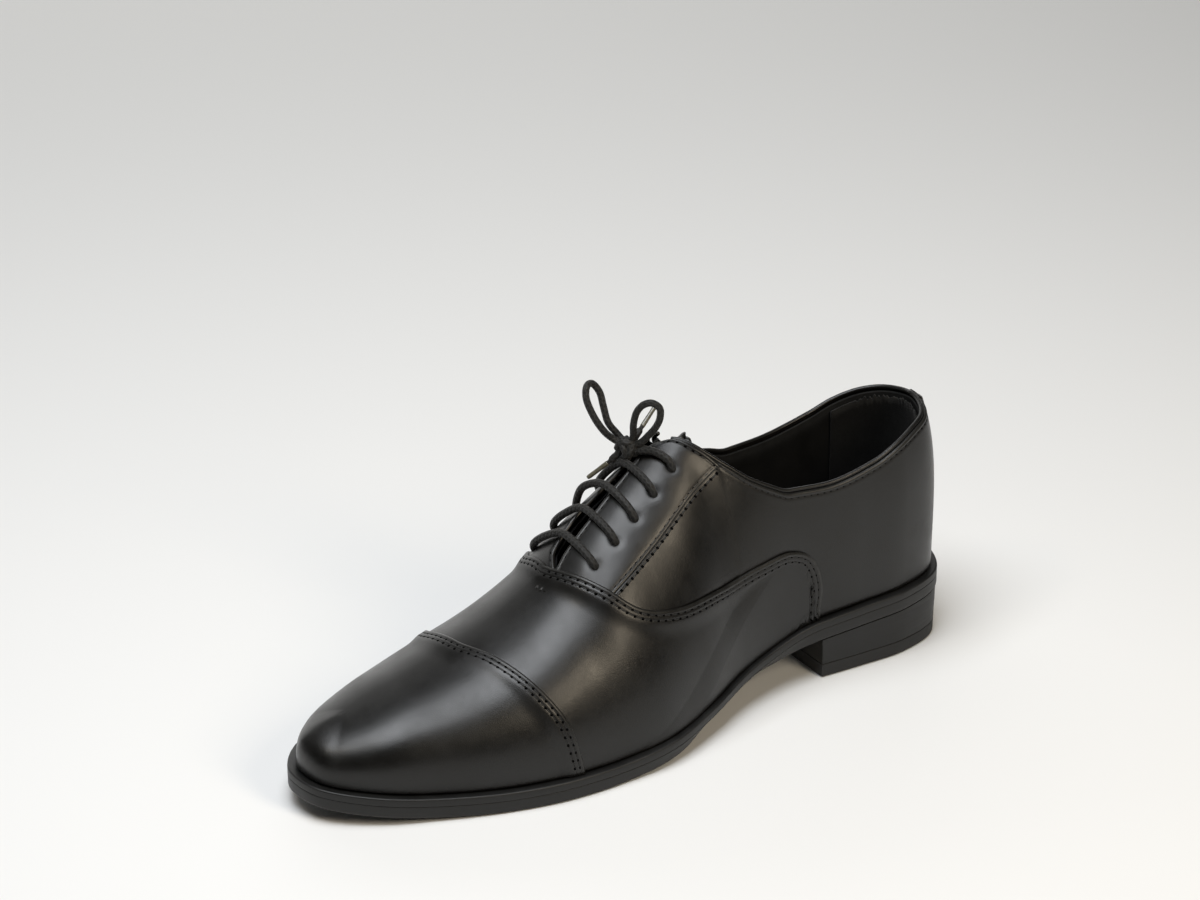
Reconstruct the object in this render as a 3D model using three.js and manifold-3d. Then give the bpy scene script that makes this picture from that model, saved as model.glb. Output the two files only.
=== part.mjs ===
// Men's cap-toe oxford shoe, left foot, EU 42. Millimetres, +Z up.
// The toe points along -Y, the outer (lateral) side faces +X, and the shoe stands on z = 0.
import * as THREE from "three";
import { mergeVertices } from "three/addons/utils/BufferGeometryUtils.js";
import Module from "manifold-3d";

const wasm = await Module();
wasm.setup();

// ---- driving dimensions ----
const gap = 0.4;              // clearance between touching pieces
const soleThickness = 5;      // outsole leather
const weltTop = 8.4;          // top of the welt above the outsole's underside
const weltWidth = 10;
const featherLift = 0.8;      // lower edge of the upper above the welt
const leather = 1.3;          // outer leather
const liningDepth = 3.3;      // outer face to the outer face of the lining
const liningThickness = 0.9;
const stiffenerDepth = 1.8;   // outer face to the toe puff and the heel counter
const stiffenerThickness = 1;
const lapWidth = 8;           // how far one panel laps over the next
const lapRise = 1.7;          // outer face of a lap above the plain surface
const lapSlope = 3;           // length over which a lap comes down
const heelBreast = 78;        // y of the front of the heel
const topPieceHeight = 6;
const laceDiameter = 2.8;
const eyeletCount = 5;
const eyeletHole = 2.1;       // radius of the hole in the leather
const eyeletV = { lateral: 0.235, medial: -0.295 };   // places of the two eyelet rows across the instep

// ---- plan of the outsole: smooth closed line through these points ----
const lateralEdge = [
  [2, -150], [17.6, -147], [32.4, -129.5], [42, -108], [50, -86], [55.9, -61], [57, -35],
  [55.3, -10], [46.5, 15], [36, 39], [30.8, 64], [31.5, 98], [31, 121], [23, 141],
];
const medialEdge = [
  [3, 150], [-17, 144], [-28.5, 126], [-31, 98], [-29, 66], [-31, 38], [-38, 12], [-44.5, -14],
  [-48, -42], [-47, -68], [-42, -92], [-31.5, -118], [-20, -136], [-7.5, -146.3],
];
const tipIndex = lateralEdge.length;

// A smooth function of one value through [value, result] pairs, with no overshoot.
function smooth(pairs) {
  const slopes = pairs.slice(1).map((p, i) => (p[1] - pairs[i][1]) / (p[0] - pairs[i][0]));
  const tangents = pairs.map((p, i) => {
    if (i === 0) return slopes[0];
    if (i === pairs.length - 1) return slopes[i - 1];
    const [before, after] = [slopes[i - 1], slopes[i]];
    return before * after <= 0 ? 0 : (2 * before * after) / (before + after);
  });
  return (value) => {
    const x = Math.min(Math.max(value, pairs[0][0]), pairs[pairs.length - 1][0]);
    let i = 0;
    while (i < pairs.length - 2 && x > pairs[i + 1][0]) i += 1;
    const width = pairs[i + 1][0] - pairs[i][0];
    const t = (x - pairs[i][0]) / width;
    const [t2, t3] = [t * t, t * t * t];
    return (2 * t3 - 3 * t2 + 1) * pairs[i][1] + (t3 - 2 * t2 + t) * width * tangents[i]
      + (3 * t2 - 2 * t3) * pairs[i + 1][1] + (t3 - t2) * width * tangents[i + 1];
  };
}

const bottomHeight = smooth([
  [-151, 7], [-130, 3.8], [-105, 1.1], [-75, 0], [-40, 0], [-10, 1.8], [20, 5.9], [50, 11.8],
  [78, 17.8], [151, 22.2],
]);
const weltHeight = (y) => bottomHeight(y) + weltTop;

// ---- one side of an outline, from the toe tip (0) to the back of the heel (1) ----
const planPoints = [...lateralEdge, ...medialEdge].map(([x, y]) => new THREE.Vector3(x, y, 0));
const plan = new THREE.CatmullRomCurve3(planPoints, true, "centripetal");
const planSteps = planPoints.length * 24;
const planLoop = [];
for (let i = 0; i < planSteps; i += 1) planLoop.push(plan.getPoint(i / planSteps));

function insetLoop(distanceAt) {
  return planLoop.map((point, i) => {
    const before = planLoop[(i + planSteps - 1) % planSteps];
    const after = planLoop[(i + 1) % planSteps];
    const along = after.clone().sub(before).normalize();
    const inward = new THREE.Vector3(-along.y, along.x, 0);
    return point.clone().addScaledVector(inward, distanceAt(point.y));
  });
}

function sidesOf(loop) {
  const back = tipIndex * 24;
  const lateral = loop.slice(0, back + 1);
  const medial = [...loop.slice(back), loop[0]].reverse();
  return [lateral, medial].map((points) => {
    const lengths = [0];
    for (let i = 1; i < points.length; i += 1) {
      lengths.push(lengths[i - 1] + points[i].distanceTo(points[i - 1]));
    }
    return (s) => {
      const wanted = s * lengths[lengths.length - 1];
      let i = 1;
      while (i < points.length - 1 && lengths[i] < wanted) i += 1;
      const t = (wanted - lengths[i - 1]) / (lengths[i] - lengths[i - 1]);
      return points[i - 1].clone().lerp(points[i], Math.min(Math.max(t, 0), 1));
    };
  });
}

// ---- the upper's outer surface ----
// s runs from the toe tip (0) to the back of the heel (1); v runs from the medial feather line
// (-1) over the ridge of the instep (0) to the lateral feather line (1).
const featherInset = smooth([[-151, 3.6], [-60, 3.4], [20, 3.2], [80, 3], [151, 2.6]]);
const [featherLateral, featherMedial] = sidesOf(insetLoop(featherInset));
const ridgeY = smooth([
  [-0.05, -125.4], [0, -127], [0.05, -125.4], [0.1, -119], [0.2, -96], [0.3, -66], [0.4, -36],
  [0.5, -6], [0.6, 23], [0.7, 53], [0.8, 82], [0.9, 106], [0.96, 112.5], [1, 114], [1.04, 112.5],
]);
const ridgeZ = smooth([
  [-127, 34.4], [-110, 39.9], [-100, 42.5], [-80, 49.1], [-60, 56.2], [-40, 67.4], [-25, 80],
  [0, 97.2], [22, 112.6], [50, 123], [85, 127], [114, 127],
]);
const ridgeX = smooth([[-127, 2.5], [-60, 4], [-35, 2.5], [0, -2], [25, -4], [60, -3], [114, 0]]);
const roundness = smooth([
  [0, 2.2], [0.15, 2.25], [0.3, 2.15], [0.4, 2.05], [0.5, 2], [0.6, 2.1], [0.7, 2.5],
  [0.8, 2.6], [0.9, 2.3], [1, 2.05],
]);
const fullnessLateral = smooth([
  [0, 2], [0.15, 2], [0.3, 1.5], [0.42, -1], [0.5, -3], [0.6, -3], [0.7, 0.5], [0.8, 3],
  [0.9, 4.5], [1, 5],
]);
const fullnessMedial = smooth([
  [-0.05, 1.4], [0, 2], [0.05, 1.4], [0.15, -1], [0.3, -3], [0.42, -2.5], [0.5, -3],
  [0.6, -3], [0.7, 0.5], [0.8, 3], [0.9, 4.5], [1, 5],
]);

// On the medial side the whole seam pattern lies a little nearer to the toe.
const patternSkew = smooth([
  [0.33, 0], [0.39, 0.017], [0.43, 0.02], [0.48, 0.026], [0.6, 0.028], [0.66, 0.02], [0.78, 0],
]);
const skewWidth = 0.3;

function surfacePoint(sGiven, vGiven) {
  let [s, v] = [sGiven, vGiven];
  if (s < 0) [s, v] = [-s, -v];
  if (s > 1) [s, v] = [2 - s, -v];
  const toMedial = Math.min(Math.max(-v / skewWidth, 0), 1);
  s -= patternSkew(s) * toMedial ** 2 * (3 - 2 * toMedial);
  const base = v >= 0 ? featherLateral(s) : featherMedial(s);
  base.z = weltHeight(base.y) + featherLift;
  const y = ridgeY(s);
  const ridge = new THREE.Vector3(ridgeX(y), y, ridgeZ(y));
  const rise = (ridgeZ(y + 2) - ridgeZ(y - 2)) / 4;
  const corner = new THREE.Vector3(ridge.x, ridge.y, base.z - rise * (base.y - ridge.y));
  const angle = Math.abs(v) * Math.PI / 2;
  const n = roundness(s);
  const [across, up] = [Math.sin(angle), Math.cos(angle)];
  const scale = (Math.abs(across) ** n + Math.abs(up) ** n) ** (-1 / n);
  const outward = base.clone().sub(corner);
  const upward = ridge.clone().sub(corner);
  const fullness = (v >= 0 ? fullnessLateral(s) : fullnessMedial(s)) * Math.sin(2 * angle) ** 2;
  return corner
    .addScaledVector(outward, across * scale + 0.9 * fullness / outward.length())
    .addScaledVector(upward, up * scale + 0.35 * fullness / upward.length());
}

function surfaceFrame(s, v) {
  const step = 0.002;
  const alongS = surfacePoint(s + step, v).sub(surfacePoint(s - step, v)).divideScalar(2 * step);
  const alongV = surfacePoint(s, v + step).sub(surfacePoint(s, v - step)).divideScalar(2 * step);
  const normal = alongV.clone().cross(alongS);
  if (normal.length() < 1) return surfaceFrame(s + 0.02, v);
  return { alongS, alongV, normal: normal.normalize() };
}

function offsetPoint(s, v, offset) {
  return surfacePoint(s, v).addScaledVector(surfaceFrame(s, v).normal, offset);
}

// Moves a distance in millimetres along the surface, square to the direction (ds, dv).
function stepSideways(place, direction, distance) {
  const { alongS, alongV, normal } = surfaceFrame(...place);
  const heading = alongS.clone().multiplyScalar(direction[0]).addScaledVector(alongV, direction[1]);
  const side = heading.clone().cross(normal).normalize().multiplyScalar(distance);
  const [a, b, c] = [alongS.dot(alongS), alongS.dot(alongV), alongV.dot(alongV)];
  const [p, q] = [side.dot(alongS), side.dot(alongV)];
  const det = a * c - b * b;
  return [place[0] + (c * p - b * q) / det, place[1] + (a * q - b * p) / det];
}

// ---- seam lines in (s, v), lateral side; the medial side mirrors v ----
function line(points) {
  const path = new THREE.CatmullRomCurve3(points.map(([s, v]) => new THREE.Vector3(3 * s, v, 0)));
  return (t) => {
    const point = path.getPointAt(Math.min(Math.max(t, 0), 1));
    return [point.x / 3, point.y];
  };
}
const capSeam = smooth([
  [-1, 0.325], [-0.6, 0.287], [-0.25, 0.262], [0, 0.267], [0.25, 0.29], [0.5, 0.315],
  [0.75, 0.339], [1, 0.352],
]);
const vampEdge = line([
  [0.403, 0], [0.405, 0.05], [0.4125, 0.15], [0.434, 0.35], [0.464, 0.525], [0.519, 0.645],
  [0.593, 0.725], [0.66, 0.758], [0.708, 0.775], [0.738, 0.82], [0.752, 0.9], [0.75, 1],
]);
const topLine = smooth([
  [0.588, 0.05], [0.6, 0.13], [0.611, 0.23], [0.627, 0.35], [0.643, 0.437], [0.664, 0.52],
  [0.689, 0.58], [0.715, 0.622], [0.77, 0.645], [0.83, 0.62], [0.87, 0.582], [0.91, 0.545], [1, 0.495],
]);
const facingV = 0.4;          // rear seam of the facing
// The two edges of the lacing slit, as v at a value of s.
const slitEdge = {
  lateral: smooth([
    [0.404, 0.062], [0.4144, 0.048], [0.425, 0.038], [0.45, 0.03], [0.48, 0.021], [0.51, 0.013],
    [0.54, 0.008], [0.59, 0.006],
  ]),
  medial: smooth([
    [0.404, 0.056], [0.4127, 0.005], [0.418, -0.026], [0.436, -0.052], [0.46, -0.08],
    [0.475, -0.088], [0.4925, -0.08], [0.54, -0.062], [0.59, -0.05],
  ]),
};

// ---- mesh helpers ----
const leatherBlack = () => new THREE.MeshStandardMaterial({ color: 0x1a1917, roughness: 0.38 });
const finishes = {
  upper: leatherBlack,
  lining: () => new THREE.MeshStandardMaterial({ color: 0x17171a, roughness: 0.8 }),
  stiffener: () => new THREE.MeshStandardMaterial({ color: 0xb9a98a, roughness: 0.8 }),
  insole: () => new THREE.MeshStandardMaterial({ color: 0xa07a52, roughness: 0.8 }),
  sole: () => new THREE.MeshStandardMaterial({ color: 0x121212, roughness: 0.45 }),
  rubber: () => new THREE.MeshStandardMaterial({ color: 0x151515, roughness: 0.7 }),
  cork: () => new THREE.MeshStandardMaterial({ color: 0xb08a5c, roughness: 0.95 }),
  steel: () => new THREE.MeshStandardMaterial({ color: 0x9a9c9e, roughness: 0.35, metalness: 1 }),
  blackMetal: () => new THREE.MeshStandardMaterial({ color: 0x202020, roughness: 0.4, metalness: 1 }),
  lace: () => new THREE.MeshStandardMaterial({ color: 0x141414, roughness: 0.7 }),
  aglet: () => new THREE.MeshStandardMaterial({ color: 0x1c1a17, roughness: 0.3 }),
};
const shoe = new THREE.Group();
shoe.position.set(-4.46, 0.05, 0);     // the origin is under the middle of the shoe

function add(name, finish, geometry) {
  const mesh = new THREE.Mesh(geometry, finishes[finish]());
  mesh.name = name;
  shoe.add(mesh);
  return mesh;
}

// A geometry from corner points and triangles, with equal points welded and slivers dropped.
function weld(points, triangles) {
  const keys = new Map();
  const kept = [];
  const index = points.map((point) => {
    const key = [point.x, point.y, point.z].map((c) => Math.round(c * 200)).join();
    if (!keys.has(key)) {
      keys.set(key, kept.length);
      kept.push(point);
    }
    return keys.get(key);
  });
  const faces = triangles.map((face) => face.map((i) => index[i]))
    .filter(([a, b, c]) => a !== b && b !== c && c !== a);
  const geometry = new THREE.BufferGeometry();
  geometry.setFromPoints(kept);
  geometry.setIndex(faces.flat());
  return geometry;
}

// A closed shell over one or more patches of the upper's surface. A patch is
// { place(a, b) -> [s, v], columns, rows } with its rows and columns listed as values 0..1,
// and low(a, b), high(a, b) give the offsets of its two faces from the surface.
function shell(patches) {
  const [outer, inner, faces] = [[], [], []];
  const keys = new Map();
  for (const patch of patches) {
    const ids = patch.columns.map((a) => patch.rows.map((b) => {
      const [s, v] = patch.place(a, b);
      const base = surfacePoint(s, v);
      const key = [base.x, base.y, base.z].map((c) => Math.round(c * 100)).join();
      if (!keys.has(key)) {
        keys.set(key, outer.length);
        const { normal } = surfaceFrame(s, v);
        outer.push(base.clone().addScaledVector(normal, patch.high(a, b)));
        inner.push(base.clone().addScaledVector(normal, patch.low(a, b)));
      }
      return keys.get(key);
    }));
    const [a0, a1] = patch.columns.slice(0, 2);
    const [b0, b1] = patch.rows.slice(0, 2);
    const corner = patch.place(a0, b0);
    const [pa, pb] = [patch.place(a1, b0), patch.place(a0, b1)];
    const turn = (pa[0] - corner[0]) * (pb[1] - corner[1]) - (pa[1] - corner[1]) * (pb[0] - corner[0]);
    for (let i = 1; i < patch.columns.length; i += 1) {
      for (let j = 1; j < patch.rows.length; j += 1) {
        const quad = [ids[i - 1][j - 1], ids[i - 1][j], ids[i][j], ids[i][j - 1]];
        if (turn < 0) quad.reverse();
        faces.push([quad[0], quad[1], quad[2]], [quad[0], quad[2], quad[3]]);
      }
    }
  }
  return thicken(outer, inner, faces);
}

function thicken(outer, inner, faces) {
  const used = faces.filter(([a, b, c]) => a !== b && b !== c && c !== a);
  const count = outer.length;
  const edges = new Set(used.flatMap(([a, b, c]) => [`${a},${b}`, `${b},${c}`, `${c},${a}`]));
  const all = [...used, ...used.map(([a, b, c]) => [a + count, c + count, b + count])];
  for (const edge of edges) {
    const [a, b] = edge.split(",").map(Number);
    if (!edges.has(`${b},${a}`)) all.push([b, a, a + count], [b, a + count, b + count]);
  }
  return weld([...outer, ...inner], all);
}

const spaced = (count) => Array.from({ length: count + 1 }, (_, i) => i / count);
const between = (from, to, t) => from + (to - from) * t;

function solidOf(geometry) {
  const bare = geometry.clone();
  bare.deleteAttribute("normal");
  bare.deleteAttribute("uv");
  const merged = mergeVertices(bare, 1e-4);
  return new wasm.Manifold(new wasm.Mesh({
    numProp: 3,
    vertProperties: new Float32Array(merged.attributes.position.array),
    triVerts: new Uint32Array(merged.index.array),
  }));
}

function geometryOf(solid) {
  const mesh = solid.getMesh();
  const geometry = new THREE.BufferGeometry();
  geometry.setAttribute("position", new THREE.BufferAttribute(mesh.vertProperties, 3));
  geometry.setIndex(new THREE.BufferAttribute(mesh.triVerts, 1));
  return geometry;
}

// A library geometry with its shared corners welded.
function weldOf(geometry) {
  const plainShape = geometry.index ? geometry.toNonIndexed() : geometry;
  const position = plainShape.getAttribute("position");
  const points = [];
  for (let i = 0; i < position.count; i += 1) points.push(new THREE.Vector3().fromBufferAttribute(position, i));
  const triangles = [];
  for (let i = 0; i < points.length; i += 3) triangles.push([i, i + 1, i + 2]);
  return weld(points, triangles);
}

// Cuts the given closed shapes out of a named piece.
function bore(name, cutters) {
  const mesh = shoe.getObjectByName(name);
  let solid = solidOf(mesh.geometry);
  for (const cutter of cutters) solid = solid.subtract(solidOf(weldOf(cutter)));
  mesh.geometry = geometryOf(solid);
}

// A rod between two points.
function rod(from, to, radius, sides = 10) {
  const geometry = new THREE.CylinderGeometry(radius, radius, from.distanceTo(to), sides);
  const turn = new THREE.Quaternion().setFromUnitVectors(
    new THREE.Vector3(0, 1, 0), to.clone().sub(from).normalize());
  geometry.applyQuaternion(turn);
  const middle = from.clone().lerp(to, 0.5);
  geometry.translate(middle.x, middle.y, middle.z);
  return geometry;
}

// A round cord through points.
function cord(points, radius, steps, sides = 8) {
  const outline = new THREE.Shape();
  outline.absarc(0, 0, radius, 0, 2 * Math.PI);
  return new THREE.ExtrudeGeometry(outline, {
    steps,
    curveSegments: sides / 2,
    extrudePath: new THREE.CatmullRomCurve3(points, false, "centripetal"),
  });
}

// ---- sole unit ----
// Slab faces are written with the lateral corner first, then the medial one, at each station.
const slabFaces = (i) => [[2 * i - 2, 2 * i, 2 * i + 1], [2 * i - 2, 2 * i + 1, 2 * i - 1]];

// Closes a flat-sided piece, after joining the two corners of a pointed end.
function closeSlab(plan, faces, low, high) {
  const keys = new Map();
  const index = plan.map((p, i) => {
    const key = `${Math.round(p.x * 200)},${Math.round(p.y * 200)}`;
    if (!keys.has(key)) keys.set(key, i);
    return keys.get(key);
  });
  const upper = plan.map((p) => p.clone().setZ(high(p.y)));
  const lower = plan.map((p) => p.clone().setZ(low(p.y)));
  return thicken(upper, lower, faces.map((face) => face.map((i) => index[i])));
}

// A slab inside the outline, inset from it, from one s to another.
function slab(inset, from, to, count, low, high) {
  const outline = sidesOf(insetLoop(() => inset));
  const [corners, faces] = [[], []];
  for (let i = 0; i <= count; i += 1) {
    const s = between(from, to, (1 - Math.cos(Math.PI * i / count)) / 2);
    corners.push(...outline.map((side) => side(s)));
    if (i > 0) faces.push(...slabFaces(i));
  }
  return closeSlab(corners, faces, low, high);
}

// The part of such a slab behind the heel breast.
function heelSlab(inset, low, high) {
  const outline = sidesOf(insetLoop(() => inset));
  const count = 14;
  const starts = outline.map((side) => {
    let [before, behind] = [0.5, 1];
    for (let i = 0; i < 30; i += 1) {
      const middle = (before + behind) / 2;
      if (side(middle).y < heelBreast) before = middle;
      else behind = middle;
    }
    return before;
  });
  const [corners, faces] = [[], []];
  for (let i = 0; i <= count; i += 1) {
    const t = Math.sin(Math.PI * i / count / 2);
    corners.push(...outline.map((side, k) => side(between(starts[k], 1, t))));
    if (i > 0) faces.push(...slabFaces(i));
  }
  return closeSlab(corners, faces, low, high);
}

// A band that follows the outline all the way round between two insets.
function band(outerInset, innerInset, count, low, high) {
  const outlines = [outerInset, innerInset].map((inset) => sidesOf(insetLoop(() => inset)));
  const stations = [
    ...spaced(count).map((s) => [0, s]),
    ...spaced(count).slice(1, -1).reverse().map((s) => [1, s]),
  ];
  const [corners, faces] = [[], []];
  stations.forEach(([side, s], i) => {
    corners.push(...outlines.map((outline) => outline[side](s)));
    const [a, b] = [2 * i, 2 * ((i + 1) % stations.length)];
    faces.push([a, b, b + 1], [a, b + 1, a + 1]);
  });
  return closeSlab(corners, faces, low, high);
}

const above = (height) => (y) => bottomHeight(y) + height;
const level = (height) => () => height;
const weltBase = soleThickness + gap;
const insoleBase = weltTop + gap;
const insoleTop = insoleBase + 2.4;
add("outsole", "sole", slab(0, 0, 1, 34, above(0), above(soleThickness)));
add("welt", "sole", band(0, weltWidth, 30, above(weltBase), above(weltTop)));
add("cork_filler", "cork", slab(weltWidth + 1.4, 0, 0.47, 14, above(weltBase), above(weltTop - gap)));
add("insole", "insole", slab(9, 0, 1, 30, above(insoleBase), above(insoleTop)));
add("sock_lining", "lining", slab(9.5, 0, 1, 30, above(insoleTop + gap), above(insoleTop + 1.4)));
add("heel_block", "sole", heelSlab(0.5, level(topPieceHeight + gap), above(-gap)));
add("top_piece", "rubber", heelSlab(0.7, level(0), level(topPieceHeight)));

// The shank: a narrow steel strip in the waist, behind the filler.
const shankEnds = [14, 92];
const shankWidth = 15;
const [shankCorners, shankFaces] = [[], []];
spaced(8).forEach((t, i) => {
  const y = between(...shankEnds, t);
  for (const x of [shankWidth / 2, -shankWidth / 2]) shankCorners.push(new THREE.Vector3(x, y, 0));
  if (i > 0) shankFaces.push(...slabFaces(i));
});
add("shank", "steel", closeSlab(shankCorners, shankFaces, above(weltBase + 0.3), above(weltBase + 1.8)));

// Nails hold the heel block to the outsole from inside.
const nailPlaces = [[-13, 100], [13, 100], [-16, 118], [16, 118], [1, 134]];
const nailRadius = 1.1;
const nailHead = 2;
const nailLength = 13;
for (const [i, [x, y]] of nailPlaces.entries()) {
  const top = bottomHeight(y) + soleThickness - 0.3;
  const profile = [
    [0, -nailLength], [nailRadius * 0.4, -nailLength + 1.5], [nailRadius, -nailLength + 3],
    [nailRadius, -1.2], [nailHead, -1], [nailHead, 0], [0, 0],
  ];
  const nail = new THREE.LatheGeometry(profile.map(([r, z]) => new THREE.Vector2(r, z)), 8);
  add(`heel_nail_${i + 1}`, "steel", weldOf(nail.rotateX(Math.PI / 2).translate(x, y, top)));
}
const nailHoles = nailPlaces.map(([x, y]) => {
  const top = bottomHeight(y) + soleThickness - 0.3;
  const profile = [
    [0, -nailLength - gap], [nailRadius + gap, -nailLength - gap], [nailRadius + gap, -1.4],
    [nailHead + gap, -1.4], [nailHead + gap, 2], [0, 2],
  ];
  const hole = new THREE.LatheGeometry(profile.map(([r, z]) => new THREE.Vector2(r, z)), 10);
  return hole.rotateX(Math.PI / 2).translate(x, y, top);
});
bore("outsole", nailHoles);
bore("heel_block", nailHoles);

// ---- upper ----
const sides = [["lateral", 1], ["medial", -1]];
const plain = { low: -leather, high: 0 };

// Offset of a lapped panel: raised over the panel below, then down to the plain surface.
function lapOffset(base, distance) {
  const t = Math.min(Math.max((distance - lapWidth) / lapSlope, 0), 1);
  return base + lapRise * (1 - t);
}

// Length of the surface for one unit of s, at a place.
const unitS = (s, v) => surfaceFrame(s, v).alongS.length();

// Toe cap: its rear edge lies on the cap seam, over the front of the vamp.
const lapReach = lapWidth + lapSlope;
const foldShare = 0.2;         // share of a panel's rows that is spent on its lapped edge
function capPlace(side) {
  return (a, b) => {
    const v = side * b;
    const seam = capSeam(v);
    const lapEnd = seam - lapReach / unitS(seam, v);
    if (a >= foldShare) return [lapEnd * (1 - (a - foldShare) / (1 - foldShare)), v];
    return [seam - (a / foldShare) * lapReach / unitS(seam, v), v];
  };
}
const lapColumns = [0, foldShare * lapWidth / lapReach, foldShare];
const capColumns = [
  ...lapColumns,
  ...spaced(8).slice(1).map((t) => 1 - (1 - foldShare) * (1 - t) ** 1.4),
];
const capOffset = (base) => (a) => lapOffset(base, a / foldShare * lapReach);
add("toe_cap", "upper", shell(sides.map(([, side]) => ({
  place: capPlace(side),
  columns: capColumns,
  rows: spaced(9),
  low: capOffset(-leather),
  high: capOffset(0),
}))));

// Vamp: from under the cap to the throat, with a wing that sweeps back along each side.
const underlap = lapWidth - 0.8;
const vampTurn = 0.55;         // where the front edge turns from the cap seam to the feather
const wingFootS = 0.69;        // where the front edge ends at the feather
function vampPlace(side) {
  return (a, b) => {
    const edge = vampEdge(a);
    const ahead = vampEdge(Math.min(a + 0.01, 1));
    const behind = vampEdge(Math.max(a - 0.01, 0));
    const direction = [ahead[0] - behind[0], ahead[1] - behind[1]];
    const distance = Math.min(b / foldShare, 1) * lapReach;
    let [s, v] = stepSideways(edge, direction, distance);
    if (a === 0) v = 0;
    if (a === 1) v = 1;
    v = Math.min(Math.max(v, 0), 1);
    if (b > foldShare) {
      const t = (b - foldShare) / (1 - foldShare);
      const capV = Math.min(a / vampTurn, 1);
      const seam = capSeam(side * capV);
      const front = seam - underlap / unitS(seam, side * capV);
      const onward = Math.max(a - vampTurn, 0) / (1 - vampTurn);
      const frontS = between(front, wingFootS, onward);
      [s, v] = [between(s, frontS, t), between(v, capV, t)];
    }
    return [s, side * v];
  };
}
add("vamp", "upper", shell(sides.map(([, side]) => ({
  place: vampPlace(side),
  columns: spaced(17),
  rows: [...lapColumns, ...spaced(7).slice(1).map((t) => between(foldShare, 1, t))],
  low: (a, b) => lapOffset(-leather, b / foldShare * lapReach),
  high: (a, b) => lapOffset(0, b / foldShare * lapReach),
}))));

// Facings: one each side of the lacing slit, tucked under the vamp at their foot.
const facingFoot = smooth([[0, 0.3838], [0.15, 0.3942], [0.4, 0.42]]);
const facingTop = smooth([
  [0, 0.586], [0.05, 0.588], [0.13, 0.6], [0.23, 0.611], [0.35, 0.627], [0.4, 0.634],
]);
const firstEyeletS = 0.437;
const eyeletStepS = 0.0343;
const eyeletS = (i) => firstEyeletS + eyeletStepS * i;
const seamV = 0.003;           // half the gap at the facing's rear seam, as v
function facingPlace(name, side) {
  return (a, b) => {
    const rear = facingV - seamV;
    const guess = between(0.03, rear, b);
    const s = between(facingFoot(guess), facingTop(guess), a);
    return [s, between(slitEdge[name](s), side * rear, b)];
  };
}
const holePin = (s, v, radius) => rod(offsetPoint(s, v, -7), offsetPoint(s, v, 4), radius, 10);
for (const [name, side] of sides) {
  add(`facing_${name}`, "upper", shell([{
    place: facingPlace(name, side),
    columns: spaced(10),
    rows: spaced(5),
    low: () => -leather,
    high: () => 0,
  }]));
  bore(`facing_${name}`, spaced(eyeletCount - 1)
    .map((t, i) => holePin(eyeletS(i), eyeletV[name], eyeletHole)));
}

// Quarters: from the facings round to the back seam, tucked under the vamp's wings.
const quarterFoot = smooth([
  [0.428, 0.43], [0.445, 0.505], [0.464, 0.58], [0.519, 0.7], [0.593, 0.77], [0.66, 0.8],
  [0.7, 0.815], [0.722, 0.845], [0.736, 0.9], [0.742, 1], [1, 1],
]);
const quarterHead = (s) => (s < 0.634 ? facingV + seamV : Math.max(topLine(s), facingV + seamV));
const quarterColumns = [...spaced(9).map((t) => between(0.428, 0.7, t)), 0.722, 0.736, 0.742,
  ...spaced(10).slice(1).map((t) => between(0.742, 0.9988, t))];
for (const [name, side] of sides) {
  add(`quarter_${name}`, "upper", shell([{
    place: (a, b) => [a, side * between(quarterHead(a), quarterFoot(a), b)],
    columns: quarterColumns,
    rows: spaced(7),
    low: () => -leather,
    high: () => 0,
  }]));
}

// Back strip: a tab sewn over the back seam under the topline.
const rearPatches = (from, columns, rows, head, low, high, foot = 1) => sides.map(([, side]) => ({
  place: (a, b) => [between(from, 1, a), side * between(head(between(from, 1, a)), foot, b)],
  columns: spaced(columns),
  rows: spaced(rows),
  low: () => low,
  high: () => high,
}));
add("back_strip", "upper", shell(
  rearPatches(0.983, 3, 5, (s) => topLine(s) + 0.012, gap, gap + 1, 0.62)));

// Linings and stiffeners, inside the outer leather.
const tipSpacing = 1.4;        // rows crowd towards the toe tip, where it curves most
const frontPatches = (to, columns, rows, low, high) => sides.map(([, side]) => ({
  place: (a, b) => [to(side * b) * a, side * b],
  columns: spaced(columns).map((t) => t ** tipSpacing),
  rows: spaced(rows),
  low: () => low,
  high: () => high,
}));
const liningLow = -liningDepth - liningThickness;
const stiffenerLow = -stiffenerDepth - stiffenerThickness;
const liningJoin = 0.372;
add("vamp_lining", "lining", shell(
  frontPatches(() => liningJoin, 12, 9, liningLow, -liningDepth)));
add("toe_puff", "stiffener", shell(
  frontPatches((v) => capSeam(v) - 0.05, 8, 9, stiffenerLow, -stiffenerDepth)));
const facingTopS = 0.588;
const liningHead = (name, side, s) => (s < facingTopS ? side * slitEdge[name](s) : topLine(s)) + 0.006;
add("quarter_lining", "lining", shell(sides.map(([name, side]) => ({
  place: (a, b) => [a, side * between(liningHead(name, side, a), 1, b)],
  columns: [...spaced(8).map((t) => between(liningJoin + 0.003, 0.588, t)), 0.6, 0.615, 0.635,
    ...spaced(11).slice(1).map((t) => between(0.635, 1, t))],
  rows: spaced(7),
  low: () => liningLow,
  high: () => -liningDepth,
}))));
const liningHole = 2.6;
for (const [name] of sides) {
  bore("quarter_lining", spaced(eyeletCount - 1)
    .map((t, i) => holePin(eyeletS(i), eyeletV[name], liningHole)));
}
add("heel_counter", "stiffener", shell(
  rearPatches(0.75, 10, 6, (s) => Math.max(topLine(s) + 0.14, 0.62), stiffenerLow, -stiffenerDepth)));
add("heel_grip", "lining", shell(
  rearPatches(0.86, 6, 6, (s) => topLine(s) + 0.03, liningLow - 1.8, liningLow - 0.9)));

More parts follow.
